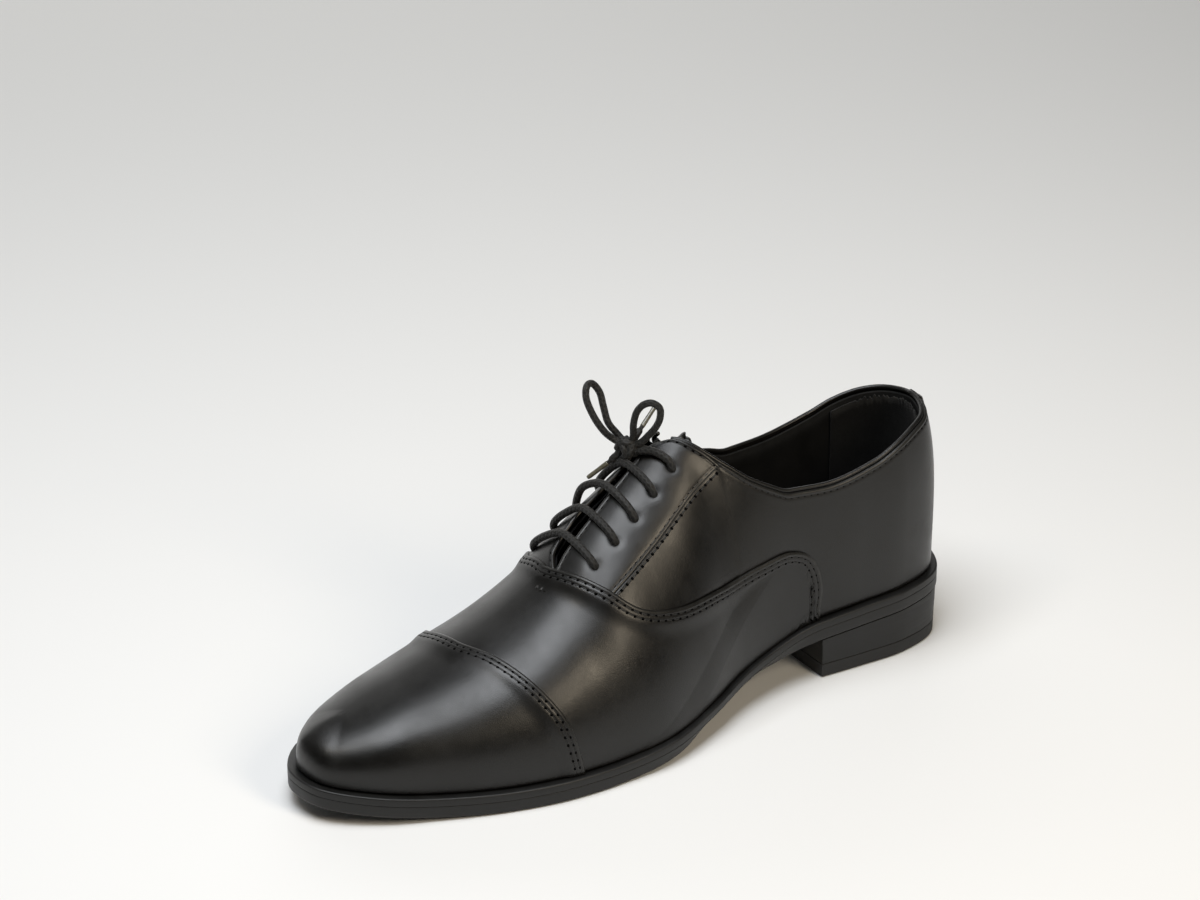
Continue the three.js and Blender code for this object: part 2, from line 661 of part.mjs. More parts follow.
// Tongue: hangs from the throat, under the facings and the lace.
const tongueDepth = 9.6;
add("tongue", "upper", shell([{
  place: (a, b) => [between(0.38, 0.622, a), between(-0.34, 0.34, b)],
  columns: spaced(10),
  rows: spaced(8),
  low: () => -tongueDepth - 1.8,
  high: () => -tongueDepth,
}]));

// Topline binding: a thin rolled edge round the opening, from one facing top to the other.
const bindingRadius = 0.9;
const bindingRise = 1.5;
const bindingPlaces = spaced(24).map((t) => between(0.6, 1, t));
const bindingSide = (side) => bindingPlaces.map((s) => {
  const v = Math.max(topLine(s), 0);
  const { alongV, normal } = surfaceFrame(s, side * v);
  return surfacePoint(s, side * v)
    .addScaledVector(alongV.normalize(), -side * bindingRise)
    .addScaledVector(normal, -2);
});
add("topline_binding", "upper", weldOf(cord(
  [...bindingSide(1), ...bindingSide(-1).reverse().slice(1)], bindingRadius, 64, 6)));

// ---- eyelets: rings between the facing and its lining ----
for (const [name] of sides) {
  for (let i = 0; i < eyeletCount; i += 1) {
    const profile = [
      [eyeletHole, -2.8], [3.5, -2.8], [3.5, -2.5], [2.5, -2.3], [2.5, -1.7], [eyeletHole, -1.7],
      [eyeletHole, -2.8],
    ];
    const ring = new THREE.LatheGeometry(profile.map(([r, z]) => new THREE.Vector2(r, z)), 10);
    const { normal } = surfaceFrame(eyeletS(i), eyeletV[name]);
    const turn = new THREE.Quaternion().setFromUnitVectors(new THREE.Vector3(0, 1, 0), normal);
    ring.applyQuaternion(turn);
    const centre = surfacePoint(eyeletS(i), eyeletV[name]);
    ring.translate(centre.x, centre.y, centre.z);
    add(`eyelet_${name}_${i + 1}`, "blackMetal", weldOf(ring));
  }
}

// ---- lace: one cord through all the eyelets, tied in a bow ----
const laceRadius = laceDiameter / 2;
const knotCentre = new THREE.Vector3(-5, 7.6, 108.6);
const barLift = 2.05;
const insideDepth = -7.2;
const { lateral: ev, medial: mv } = eyeletV;
const barOverhang = 0.035;     // how far before its hole a bar starts to turn down
const dip = (i, v) => [
  offsetPoint(eyeletS(i), v - Math.sign(v) * barOverhang, barLift - 0.2),
  offsetPoint(eyeletS(i), v, 0),
  offsetPoint(eyeletS(i), v, -5.2),
];
const barMiddle = (i, lift, medialLift = 0) => [-0.5, 0, 0.5].map((t) => offsetPoint(
  eyeletS(i), (ev + mv) / 2 + t * (ev - mv) / 2,
  barLift + lift * (1 - Math.abs(t)) + (t < 0 ? medialLift : 0)));
const inside = (i, v) => offsetPoint(eyeletS(i), v, insideDepth);
const pass = 0.055;            // how far a hidden run keeps to one side of the eyelet it passes
const laceRoute = [
  offsetPoint(0.568, -0.12, 3.4),
  offsetPoint(eyeletS(4), mv + 0.05, 2.6),
  ...dip(4, mv).slice(1),
  inside(3.85, -0.12),
  inside(3.4, 0.02),
  inside(3.1, 0.13),
  ...dip(3, ev).reverse(),
  ...barMiddle(3, 0.2).reverse(),
  ...dip(3, mv),
  inside(2.8, mv + pass),
  inside(2, mv + pass * 1.15),
  inside(1.2, mv + pass),
  ...dip(1, mv).reverse(),
  ...barMiddle(1, 0.8),
  ...dip(1, ev),
  inside(0.5, ev),
  ...dip(0, ev).reverse(),
  ...barMiddle(0, 0.4).reverse(),
  ...dip(0, mv),
  inside(0.2, mv - pass),
  inside(1, mv - pass * 1.15),
  inside(1.8, mv - pass),
  ...dip(2, mv).reverse(),
  ...barMiddle(2, 1.6, 1.8),
  ...dip(2, ev),
  inside(2.2, ev + pass),
  inside(3, ev + pass * 1.15),
  inside(3.8, ev + pass),
  ...dip(4, ev).reverse(),
  offsetPoint(0.568, 0.1, 2.6),
  offsetPoint(0.56, 0.03, 3),
];
add("lace", "lace", weldOf(cord(laceRoute, laceRadius, 120, 8)));

const knotRadius = 3.4;
const knot = new THREE.SphereGeometry(knotRadius, 12, 8).scale(1.15, 0.95, 0.8);
add("lace_knot", "lace", weldOf(knot.translate(knotCentre.x, knotCentre.y, knotCentre.z)));

const vectors = (points) => points.map((p) => new THREE.Vector3(...p));
const freeEnds = {
  bow_loop_medial: [
    [-9.2, 2.6, 112.2], [-9.6, -1.3, 116.5], [-12.3, -4.4, 123.1], [-15.1, -5.6, 129.7],
    [-16.9, -4, 133.3], [-18.4, -0.7, 133], [-17.3, 2, 129.1], [-14.8, 2.3, 123.5],
    [-12.2, 2.8, 117.6], [-9.8, 5.8, 112.6],
  ],
  bow_loop_lateral: [
    [-3.6, 8.8, 113.2], [-1.8, 7.9, 119.8], [0.3, 8.1, 125.8], [3.2, 9.5, 129.7], [5.5, 11.7, 130.7],
    [6.9, 14.3, 128.5], [6.8, 14.6, 124.1], [5, 13.9, 119.7], [2.5, 12.3, 115.7], [-0.3, 10.6, 112],
  ],
  lace_end_medial: [[-7.4, 4.2, 105.8], [-8.2, 2.8, 104.1], [-9, 1.2, 102.4]],
  lace_end_lateral: [[-6.3, 11.2, 111], [-7.1, 13.2, 112.3], [-8, 15.4, 113.7]],
};
for (const [name, points] of Object.entries(freeEnds)) {
  const steps = name.startsWith("bow") ? 24 : 6;
  add(name, "lace", weldOf(cord(vectors(points), laceRadius, steps, 8)));
}
const aglets = {
  aglet_medial: [[-9.3, 0.7, 101.8], [-13.6, -6, 95.4]],
  aglet_lateral: [[-8.2, 15.9, 114.1], [-11.6, 24.7, 119.9]],
};
for (const [name, points] of Object.entries(aglets)) {
  const [from, to] = vectors(points);
  add(name, "aglet", weldOf(rod(from, to, 1.1, 10)));
}

export default shoe;
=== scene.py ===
# Black cap-toe oxford, left shoe. Metres in the scene; the shapes are worked out in millimetres on the last.
import math

import bpy
import numpy as np
from mathutils import Matrix, Vector


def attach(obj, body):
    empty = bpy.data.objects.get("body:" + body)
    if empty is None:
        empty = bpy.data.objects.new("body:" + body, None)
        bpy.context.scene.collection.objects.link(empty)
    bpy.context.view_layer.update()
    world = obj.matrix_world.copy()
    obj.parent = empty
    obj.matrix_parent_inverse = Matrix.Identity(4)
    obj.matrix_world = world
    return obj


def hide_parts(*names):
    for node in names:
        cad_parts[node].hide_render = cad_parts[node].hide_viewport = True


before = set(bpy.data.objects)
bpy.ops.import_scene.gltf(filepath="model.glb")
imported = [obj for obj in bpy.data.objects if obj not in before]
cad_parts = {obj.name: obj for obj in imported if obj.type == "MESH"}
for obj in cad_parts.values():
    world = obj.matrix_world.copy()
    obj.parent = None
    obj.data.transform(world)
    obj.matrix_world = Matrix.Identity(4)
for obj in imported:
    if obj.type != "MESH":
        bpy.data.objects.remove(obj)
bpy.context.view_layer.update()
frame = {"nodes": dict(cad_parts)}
bpy.ops.object.select_all(action="DESELECT")
scene = bpy.context.scene
scene.view_settings.view_transform = "Standard"

# camera
view = {"place": (1.03379, -0.65999, 0.70086), "turn": 57.9, "tilt": 25.6, "roll": -0.32, "lens": 105}
bpy.ops.object.camera_add(location=view["place"])
camera = bpy.context.object
camera.name = "camera"
turn, tilt, roll = (math.radians(view[key]) for key in ("turn", "tilt", "roll"))
aim = Matrix.Rotation(turn, 3, "Z") @ Matrix.Rotation(math.pi / 2 - tilt, 3, "X")
camera.rotation_euler = (aim @ Matrix.Rotation(roll, 3, "Z")).to_euler()
camera.data.lens = view["lens"]
camera.data.sensor_width = 36
camera.data.clip_start = 0.05
camera.data.clip_end = 20
scene.camera = camera


# small helpers for meshes
def deselectAll():
    if bpy.context.object and bpy.context.object.mode != "OBJECT":
        bpy.ops.object.mode_set(mode="OBJECT")
    bpy.ops.object.select_all(action="DESELECT")


def pick(piece):
    deselectAll()
    piece.select_set(True)
    bpy.context.view_layer.objects.active = piece


def applyModifier(piece, kind, **values):
    pick(piece)
    modifier = piece.modifiers.new(kind.title(), kind)
    for key, value in values.items():
        setattr(modifier, key, value)
    bpy.ops.object.modifier_apply(modifier=modifier.name)


def joinAll(name, pieces):
    deselectAll()
    for piece in pieces:
        piece.select_set(True)
    bpy.context.view_layer.objects.active = pieces[0]
    if len(pieces) > 1:
        bpy.ops.object.join()
    made = bpy.context.object
    made.name = made.data.name = name
    return made


def mergeDoubles(piece, recalculate=False, gap=2e-6):
    pick(piece)
    bpy.ops.object.mode_set(mode="EDIT")
    bpy.ops.mesh.select_all(action="SELECT")
    bpy.ops.mesh.remove_doubles(threshold=gap)
    if recalculate:
        bpy.ops.mesh.normals_make_consistent(inside=False)
    bpy.ops.object.mode_set(mode="OBJECT")


def toFrame(points):
    return (points + np.array([-4.46, 0.05, 0])) / 1000  # from the last's own origin to the shared frame


def layGrid(name, points, outward=None, rim=None, uv=None):
    columns, rows = points.shape[:2]
    if outward is not None:  # faces turn to the outside of the shoe
        along = np.gradient(points, axis=0)
        across = np.gradient(points, axis=1)
        if (np.cross(along, across) * outward).sum() < 0:
            points = points[::-1]
            rim = None if rim is None else rim[::-1]
            uv = None if uv is None else uv[::-1]
    deselectAll()
    bpy.ops.mesh.primitive_grid_add(x_subdivisions=columns - 1, y_subdivisions=rows - 1, size=2)
    piece = bpy.context.object
    mesh = piece.data
    piece.name = mesh.name = name
    flat = np.empty(len(mesh.vertices) * 3)
    mesh.vertices.foreach_get("co", flat)
    flat = flat.reshape(-1, 3)
    i = np.rint((flat[:, 0] + 1) / 2 * (columns - 1)).astype(int)
    j = np.rint((flat[:, 1] + 1) / 2 * (rows - 1)).astype(int)
    mesh.vertices.foreach_set("co", toFrame(points[i, j]).astype(np.float32).ravel())
    rimValues = np.zeros(len(i)) if rim is None else rim[i, j]
    mesh.attributes.new("rim", "FLOAT", "POINT").data.foreach_set("value", rimValues.astype(np.float32))
    if uv is not None:
        corners = np.empty(len(mesh.loops), np.int32)
        mesh.loops.foreach_get("vertex_index", corners)
        mesh.uv_layers.active.data.foreach_set("uv", uv[i, j][corners].astype(np.float32).ravel())
    mesh.update()
    bpy.ops.object.shade_smooth()
    return piece


# smooth lines
def smoothThrough(pairs):
    x, y = np.array(pairs, float).T
    slopes = np.diff(y) / np.diff(x)
    before, after = slopes[:-1], slopes[1:]
    total = np.where(before + after == 0, 1, before + after)
    tangents = np.concatenate([slopes[:1], np.where(before * after <= 0, 0, 2 * before * after / total),
                               slopes[-1:]])

    def value(at):
        at = np.clip(at, x[0], x[-1])
        i = np.clip(np.searchsorted(x, at, side="right") - 1, 0, len(x) - 2)
        width = x[i + 1] - x[i]
        t = (at - x[i]) / width
        return ((2 * t**3 - 3 * t**2 + 1) * y[i] + (t**3 - 2 * t**2 + t) * width * tangents[i]
                + (3 * t**2 - 2 * t**3) * y[i + 1] + (t**3 - t**2) * width * tangents[i + 1])

    return value


def curveThrough(points, steps=24, closed=False):
    points = np.array(points, float)
    count = len(points)
    parts = []
    for i in range(count if closed else count - 1):
        if closed:
            a, b, c, d = points[[i - 1, i, (i + 1) % count, (i + 2) % count]]
        else:
            b, c = points[i], points[i + 1]
            a = points[i - 1] if i > 0 else 2 * b - c
            d = points[i + 2] if i + 2 < count else 2 * c - b
        k1, k2, k3 = (max(np.linalg.norm(q - p), 1e-6) ** 0.5 for p, q in ((a, b), (b, c), (c, d)))
        m1 = ((b - a) / k1 - (c - a) / (k1 + k2) + (c - b) / k2) * k2
        m2 = ((c - b) / k2 - (d - b) / (k2 + k3) + (d - c) / k3) * k2
        t = np.linspace(0, 1, steps, endpoint=False)[:, None]
        parts.append((2 * t**3 - 3 * t**2 + 1) * b + (t**3 - 2 * t**2 + t) * m1
                     + (3 * t**2 - 2 * t**3) * c + (t**3 - t**2) * m2)
    if not closed:
        parts.append(points[-1:])
    return np.vstack(parts)


def lengthsOf(line):
    return np.concatenate([[0], np.cumsum(np.linalg.norm(np.diff(line, axis=0), axis=1))])


def evenly(line, count):
    lengths = lengthsOf(line)
    wanted = np.linspace(0, lengths[-1], count)
    return np.stack([np.interp(wanted, lengths, line[:, k]) for k in range(line.shape[1])], -1)


# the last: plan outline, height of the sole and the upper's outer surface, in millimetres
last = {
    "lateral": [(2, -150), (17.6, -147), (32.4, -129.5), (42, -108), (50, -86), (55.9, -61), (57, -35),
                (55.3, -10), (46.5, 15), (36, 39), (30.8, 64), (31.5, 98), (31, 121), (23, 141)],
    "medial": [(3, 150), (-17, 144), (-28.5, 126), (-31, 98), (-29, 66), (-31, 38), (-38, 12), (-44.5, -14),
               (-48, -42), (-47, -68), (-42, -92), (-31.5, -118), (-20, -136), (-7.5, -146.3)],
    "weltTop": 8.4,
    "featherLift": 0.8,
}
bottomHeight = smoothThrough([(-151, 7), (-130, 3.8), (-105, 1.1), (-75, 0), (-40, 0), (-10, 1.8), (20, 5.9),
                              (50, 11.8), (78, 17.8), (151, 22.2)])
featherInset = smoothThrough([(-151, 3.6), (-60, 3.4), (20, 3.2), (80, 3), (151, 2.6)])
ridgeY = smoothThrough([(-0.05, -125.4), (0, -127), (0.05, -125.4), (0.1, -119), (0.2, -96), (0.3, -66),
                        (0.4, -36),
                        (0.5, -6), (0.6, 23), (0.7, 53), (0.8, 82), (0.9, 106), (0.96, 112.5), (1, 114),
                        (1.04, 112.5)])
ridgeZ = smoothThrough([(-127, 34.4), (-110, 39.9), (-100, 42.5), (-80, 49.1), (-60, 56.2), (-40, 67.4),
                        (-25, 80),
                        (0, 97.2), (22, 112.6), (50, 123), (85, 127), (114, 127)])
ridgeX = smoothThrough([(-127, 2.5), (-60, 4), (-35, 2.5), (0, -2), (25, -4), (60, -3), (114, 0)])
roundness = smoothThrough([(0, 2.2), (0.15, 2.25), (0.3, 2.15), (0.4, 2.05), (0.5, 2), (0.6, 2.1), (0.7, 2.5),
                           (0.8, 2.6), (0.9, 2.3), (1, 2.05)])
fullnessLateral = smoothThrough([(0, 2), (0.15, 2), (0.3, 1.5), (0.42, -1), (0.5, -3), (0.6, -3), (0.7, 0.5),
                                 (0.8, 3), (0.9, 4.5), (1, 5)])
fullnessMedial = smoothThrough([(-0.05, 1.4), (0, 2), (0.05, 1.4), (0.15, -1), (0.3, -3), (0.42, -2.5),
                                (0.5, -3),
                                (0.6, -3), (0.7, 0.5), (0.8, 3), (0.9, 4.5), (1, 5)])
patternSkew = smoothThrough([(0.33, 0), (0.39, 0.017), (0.43, 0.02), (0.48, 0.026), (0.6, 0.028),
                             (0.66, 0.02), (0.78, 0)])
plan = curveThrough(last["lateral"] + last["medial"], 24, closed=True)
heelIndex = len(last["lateral"]) * 24


def insetPlan(distance):
    along = np.roll(plan, -1, 0) - np.roll(plan, 1, 0)
    along /= np.linalg.norm(along, axis=1, keepdims=True)
    return plan + np.stack([-along[:, 1], along[:, 0]], 1) * np.broadcast_to(distance, len(plan))[:, None]


def sidesOf(loop):  # the two halves of an outline, each from the toe tip (0) to the heel's back (1)
    halves = [loop[:heelIndex + 1], np.vstack([loop[heelIndex:], loop[:1]])[::-1]]

    def makeSide(points):
        lengths = lengthsOf(points)
        return lambda s: np.stack([np.interp(s * lengths[-1], lengths, points[:, k]) for k in (0, 1)], -1)

    return [makeSide(half) for half in halves]


featherSides = sidesOf(insetPlan(featherInset(plan[:, 1])))


# s runs from the toe tip (0) to the heel's back (1); v from the medial feather line (-1) over the ridge to
# the lateral one (1). Past 1 the leather turns in under the foot.
def surfacePoint(s, v):
    s, v = np.broadcast_arrays(np.asarray(s, float), np.asarray(v, float))
    v = np.where((s < 0) | (s > 1), -v, v)
    s = np.where(s < 0, -s, np.where(s > 1, 2 - s, s))
    toMedial = np.clip(-v / 0.3, 0, 1)
    s = s - patternSkew(s) * toMedial**2 * (3 - 2 * toMedial)
    turnedIn = np.clip(np.abs(v) - 1, 0, 0.1) / 0.05
    v = np.clip(v, -1, 1)
    foot = np.where((v >= 0)[..., None], featherSides[0](s), featherSides[1](s))
    footZ = bottomHeight(foot[..., 1]) + last["weltTop"] + last["featherLift"]
    y = ridgeY(s)
    rise = (ridgeZ(y + 2) - ridgeZ(y - 2)) / 4
    base = np.concatenate([foot, footZ[..., None]], -1)
    ridge = np.stack([ridgeX(y), y, ridgeZ(y)], -1)
    corner = np.stack([ridge[..., 0], y, footZ - rise * (foot[..., 1] - y)], -1)
    angle = np.abs(v) * math.pi / 2
    across, up = np.sin(angle), np.cos(angle)
    power = roundness(s)
    scale = (np.abs(across) ** power + np.abs(up) ** power) ** (-1 / power)
    outward, upward = base - corner, ridge - corner
    fullness = np.where(v >= 0, fullnessLateral(s), fullnessMedial(s)) * np.sin(2 * angle) ** 2
    outwardLength = np.linalg.norm(outward, axis=-1)
    upwardLength = np.linalg.norm(upward, axis=-1)
    point = (corner + outward * (across * scale + 0.9 * fullness / outwardLength)[..., None]
             + upward * (up * scale + 0.35 * fullness / upwardLength)[..., None])
    inward = -outward / outwardLength[..., None]
    return point + inward * (2.6 * turnedIn**2)[..., None] + np.stack([0 * s, 0 * s, -0.8 * turnedIn], -1)


def surfaceFrame(s, v, step=0.002):
    alongS = (surfacePoint(s + step, v) - surfacePoint(s - step, v)) / (2 * step)
    alongV = (surfacePoint(s, v + step) - surfacePoint(s, v - step)) / (2 * step)
    normal = np.cross(alongV, alongS)
    size = np.linalg.norm(normal, axis=-1, keepdims=True)
    weak = size[..., 0] < 1
    if weak.any():  # at a pole the next place back gives the direction
        s, v = np.broadcast_arrays(np.asarray(s, float), np.asarray(v, float))
        nearby = np.where(weak, s + 0.02, s)
        a = surfacePoint(nearby + step, v) - surfacePoint(nearby - step, v)
        b = surfacePoint(nearby, v + step) - surfacePoint(nearby, v - step)
        again = np.cross(b, a)
        normal = np.where(weak[..., None], again, normal)
        size = np.linalg.norm(normal, axis=-1, keepdims=True)
    return alongS, alongV, normal / size


def raised(s, v, lift):
    return surfacePoint(s, v) + surfaceFrame(s, v)[2] * np.asarray(lift, float)[..., None]


def millimetresPerS(s, v):
    return np.linalg.norm(surfaceFrame(s, v)[0], axis=-1)


def millimetresPerV(s, v):
    return np.linalg.norm(surfaceFrame(s, v)[1], axis=-1)


def stepSideways(s, v, ds, dv, distance):  # moves along the surface, square to the direction (ds, dv)
    alongS, alongV, normal = surfaceFrame(s, v)
    heading = alongS * ds[..., None] + alongV * dv[..., None]
    side = np.cross(heading, normal)
    side *= distance[..., None] / np.linalg.norm(side, axis=-1, keepdims=True)
    a, b, c = (alongS * alongS).sum(-1), (alongS * alongV).sum(-1), (alongV * alongV).sum(-1)
    p, q = (side * alongS).sum(-1), (side * alongV).sum(-1)
    det = a * c - b * b
    return s + (c * p - b * q) / det, v + (a * q - b * p) / det


# seam lines in (s, v)
capSeam = smoothThrough([(-1, 0.325), (-0.6, 0.287), (-0.25, 0.262), (0, 0.267), (0.25, 0.29), (0.5, 0.315),
                         (0.75, 0.339), (1, 0.352)])
vampEdgePoints = [(0.403, 0), (0.405, 0.05), (0.4125, 0.15), (0.434, 0.35), (0.464, 0.525), (0.519, 0.645),
                  (0.593, 0.725),
                  (0.66, 0.758), (0.708, 0.775), (0.738, 0.82), (0.752, 0.9), (0.75, 1), (0.7495, 1.05)]
topLine = smoothThrough([(0.588, 0.05), (0.6, 0.13), (0.611, 0.23), (0.627, 0.35), (0.643, 0.437),
                         (0.664, 0.52),
                         (0.689, 0.58), (0.715, 0.622), (0.77, 0.645), (0.83, 0.62), (0.87, 0.582),
                         (0.91, 0.545), (1, 0.495)])
facingTop = smoothThrough([(0, 0.586), (0.05, 0.588), (0.13, 0.6), (0.23, 0.611), (0.35, 0.627),
                           (0.4, 0.634)])
facingFoot = smoothThrough([(0, 0.376), (0.15, 0.391), (0.4, 0.42)])
slitLateral = smoothThrough([(0.404, 0.062), (0.4144, 0.048), (0.425, 0.038), (0.45, 0.03), (0.48, 0.021),
                             (0.51, 0.013),
                            (0.54, 0.008), (0.59, 0.006)])
slitMedial = smoothThrough([(0.404, 0.058), (0.4127, 0.005), (0.418, -0.026), (0.436, -0.052), (0.46, -0.08),
                            (0.475, -0.088),
                           (0.4925, -0.08), (0.54, -0.062), (0.59, -0.05)])
eyelets = {"count": 5, "first": 0.437, "step": 0.0343, "lateral": 0.235, "medial": -0.295}


def eyeletS(i):
    return eyelets["first"] + eyelets["step"] * i


def eyeletV(side):
    return eyelets["lateral"] if side > 0 else eyelets["medial"]


print("last and seam lines ready")


def joinFrame(piece, body, node):
    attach(piece, body)
    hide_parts(node)


# lace: cords first, because their places are shared with the frame
lace = {"radius": 1.6, "loopRadius": 1.42, "sides": 16, "barLift": 1.95, "insideDepth": -7.2, "pass": 0.055}
knotCentre = np.array([-5, 7.6, 108.6])


def layTube(name, path, radius, sides=16, dome=0.5):  # a round cord through a dense line, closed by domes
    path = np.array(path, float)
    tangents = np.gradient(path, axis=0)
    tangents /= np.linalg.norm(tangents, axis=1, keepdims=True)
    guide = np.array([0.31, 0.17, 0.93])
    ups = []
    for t in tangents:
        guide = guide - t * (guide @ t)
        guide = guide / np.linalg.norm(guide)
        ups.append(guide)
    ups = np.array(ups)
    rights = np.cross(tangents, ups)
    turns = np.linspace(0, 2 * math.pi, sides + 1)
    radii = np.broadcast_to(radius, len(path)).astype(float)
    ring = rights[:, None] * np.cos(turns)[None, :, None] + ups[:, None] * np.sin(turns)[None, :, None]
    rings = list(path[:, None] + ring * radii[:, None, None])
    runs = list(lengthsOf(path))
    for angle in (30, 60, 90):
        out = dome * math.sin(math.radians(angle))
        narrow = math.cos(math.radians(angle)) if angle < 90 else 0
        rings.insert(0, path[0] - tangents[0] * radii[0] * out + ring[0] * radii[0] * narrow)
        rings.append(path[-1] + tangents[-1] * radii[-1] * out + ring[-1] * radii[-1] * narrow)
        runs.insert(0, runs[0] - 0.3)
        runs.append(runs[-1] + 0.3)
    points = np.array(rings)
    uv = np.stack(np.broadcast_arrays(np.array(runs)[:, None], (turns / (2 * math.pi))[None, :]), -1)
    tube = layGrid(name, points, uv=uv)
    mergeDoubles(tube, recalculate=True)
    return tube


def dip(i, side):
    s, v = eyeletS(i), eyeletV(side)
    return [raised(s, v - side * 0.035, lace["barLift"] - 0.2), raised(s, v, 0.0), raised(s, v, -5.2)]


def bar(i, lift, medialLift=0.0):
    middle, half = (eyelets["lateral"] + eyelets["medial"]) / 2, (eyelets["lateral"] - eyelets["medial"]) / 2
    return [raised(eyeletS(i), middle + t * half, lace["barLift"] + lift * (1 - abs(t)) + medialLift
                   * (t < -0.2))
            for t in (-0.5, 0, 0.5)]


def inside(i, v):
    return raised(eyeletS(i), v, lace["insideDepth"])


ev, mv, clear = eyelets["lateral"], eyelets["medial"], lace["pass"]
laceRoute = [
    raised(0.568, -0.12, 3.4), raised(eyeletS(4), mv + 0.05, 1.9), *dip(4, -1)[1:],
    inside(3.85, -0.12), inside(3.4, 0.02), inside(3.1, 0.13), *dip(3, 1)[::-1],
    *bar(3, 0.2)[::-1], *dip(3, -1), inside(2.8, mv + clear), inside(2, mv + clear * 1.15),
    inside(1.2, mv + clear), *dip(1, -1)[::-1], *bar(1, 0.8), *dip(1, 1), inside(0.5, ev),
    *dip(0, 1)[::-1], *bar(0, 0.4)[::-1], *dip(0, -1), inside(0.2, mv - clear),
    inside(1, mv - clear * 1.15), inside(1.8, mv - clear), *dip(2, -1)[::-1], *bar(2, 1.6, 1.8),
    *dip(2, 1), inside(2.2, ev + clear), inside(3, ev + clear * 1.15), inside(3.8, ev + clear),
    *dip(4, 1)[::-1], raised(0.568, 0.1, 2.6), raised(0.56, 0.03, 3.0),
]
laceLine = evenly(curveThrough(laceRoute, 12), 900)
laceTube = layTube("laceThroughEyelets", laceLine, lace["radius"], lace["sides"])
joinFrame(laceTube, "shoe", "lace")

loops = {
    "bow_loop_medial": [[-9.2, 2.6, 112.2], [-9.6, -1.3, 116.5], [-12.3, -4.4, 123.1], [-15.1, -5.6, 129.7],
                        [-16.9, -4, 133.3], [-18.4, -0.7, 133], [-17.3, 2, 129.1], [-14.8, 2.3, 123.5],
                        [-12.2, 2.8, 117.6], [-9.8, 5.8, 112.6]],
    "bow_loop_lateral": [[-3.6, 8.8, 113.2], [-1.8, 7.9, 119.8], [0.3, 8.1, 125.8], [3.2, 9.5, 129.7],
                         [5.5, 11.7, 130.7],
                         [6.9, 14.3, 128.5], [6.8, 14.6, 124.1], [5, 13.9, 119.7], [2.5, 12.3, 115.7],
                         [-0.3, 10.6, 112]],
}
laceCords = []
for name, route in loops.items():
    knotIn = knotCentre + (np.array(route[0]) - knotCentre) * 0.35
    knotOut = knotCentre + (np.array(route[-1]) - knotCentre) * 0.35
    line = evenly(curveThrough([knotIn, *route, knotOut], 16), 220)
    loop = layTube(name.replace("_", "-"), line, lace["loopRadius"], lace["sides"])
    joinFrame(loop, name, name)
    laceCords.append(loop)

ends = {
    "medial": {"route": [[-1.9, 8.8, 107.4], [-3, 9.6, 110.2], [-5.6, 7.4, 111.2], [-7.3, 5.6, 109.2],
                         [-7.4, 4.2, 105.8],
                         [-8.2, 2.8, 104.1], [-9, 1.2, 102.4]], "tip": [-13.6, -6, 95.4]},
    "lateral": {"route": [[-2.6, 8.2, 110.6], [-2.2, 6.4, 107.6], [-4, 6.2, 105.8], [-6, 8, 107.6],
                          [-6.3, 11.2, 111],
                          [-7.1, 13.2, 112.3], [-8, 15.4, 113.7]], "tip": [-11.6, 24.7, 119.9]},
}
aglet = {"radius": 1.0, "start": 0.08, "sides": 20}
agletTubes = []
for side, end in ends.items():
    tip = np.array(end["tip"], float)
    foot = np.array(end["route"][-1], float)
    line = evenly(curveThrough([*end["route"], foot + (tip - foot) * 0.5, tip - (tip - foot) * 0.03], 12),
                  120)
    runs = lengthsOf(line)
    bare = runs[-1] - np.linalg.norm(tip - foot)
    narrow = np.clip((runs - bare + 1.2) / 1.6, 0, 1)
    radii = lace["loopRadius"] - (lace["loopRadius"] - 0.85) * narrow**2 * (3 - 2 * narrow)
    tube = layTube(f"laceEnd-{side}", line, radii, lace["sides"])
    body = f"lace_end_{side}"
    joinFrame(tube, body, body)
    start = foot + (tip - foot) * aglet["start"]
    film = evenly(np.array([start, tip]), 24)
    t = np.linspace(0, 1, 24)
    filmRadii = aglet["radius"] * (1 - 0.12 * t + 0.02 * np.sin(9 * t) - 0.16
                                   * np.clip((t - 0.93) / 0.07, 0, 1) ** 2)
    cover = layTube(f"aglet-{side}", film, filmRadii, aglet["sides"], dome=0.25)
    joinFrame(cover, body, f"aglet_{side}")
    agletTubes.append(cover)
    laceCords.append(tube)

knot = {"radius": 1.4, "wrapRadius": 2.3, "wraps": 1.6}


def knotStrand(name, points, radius=None):
    return layTube(name, evenly(curveThrough(points, 12), 70), radius or knot["radius"], 14)


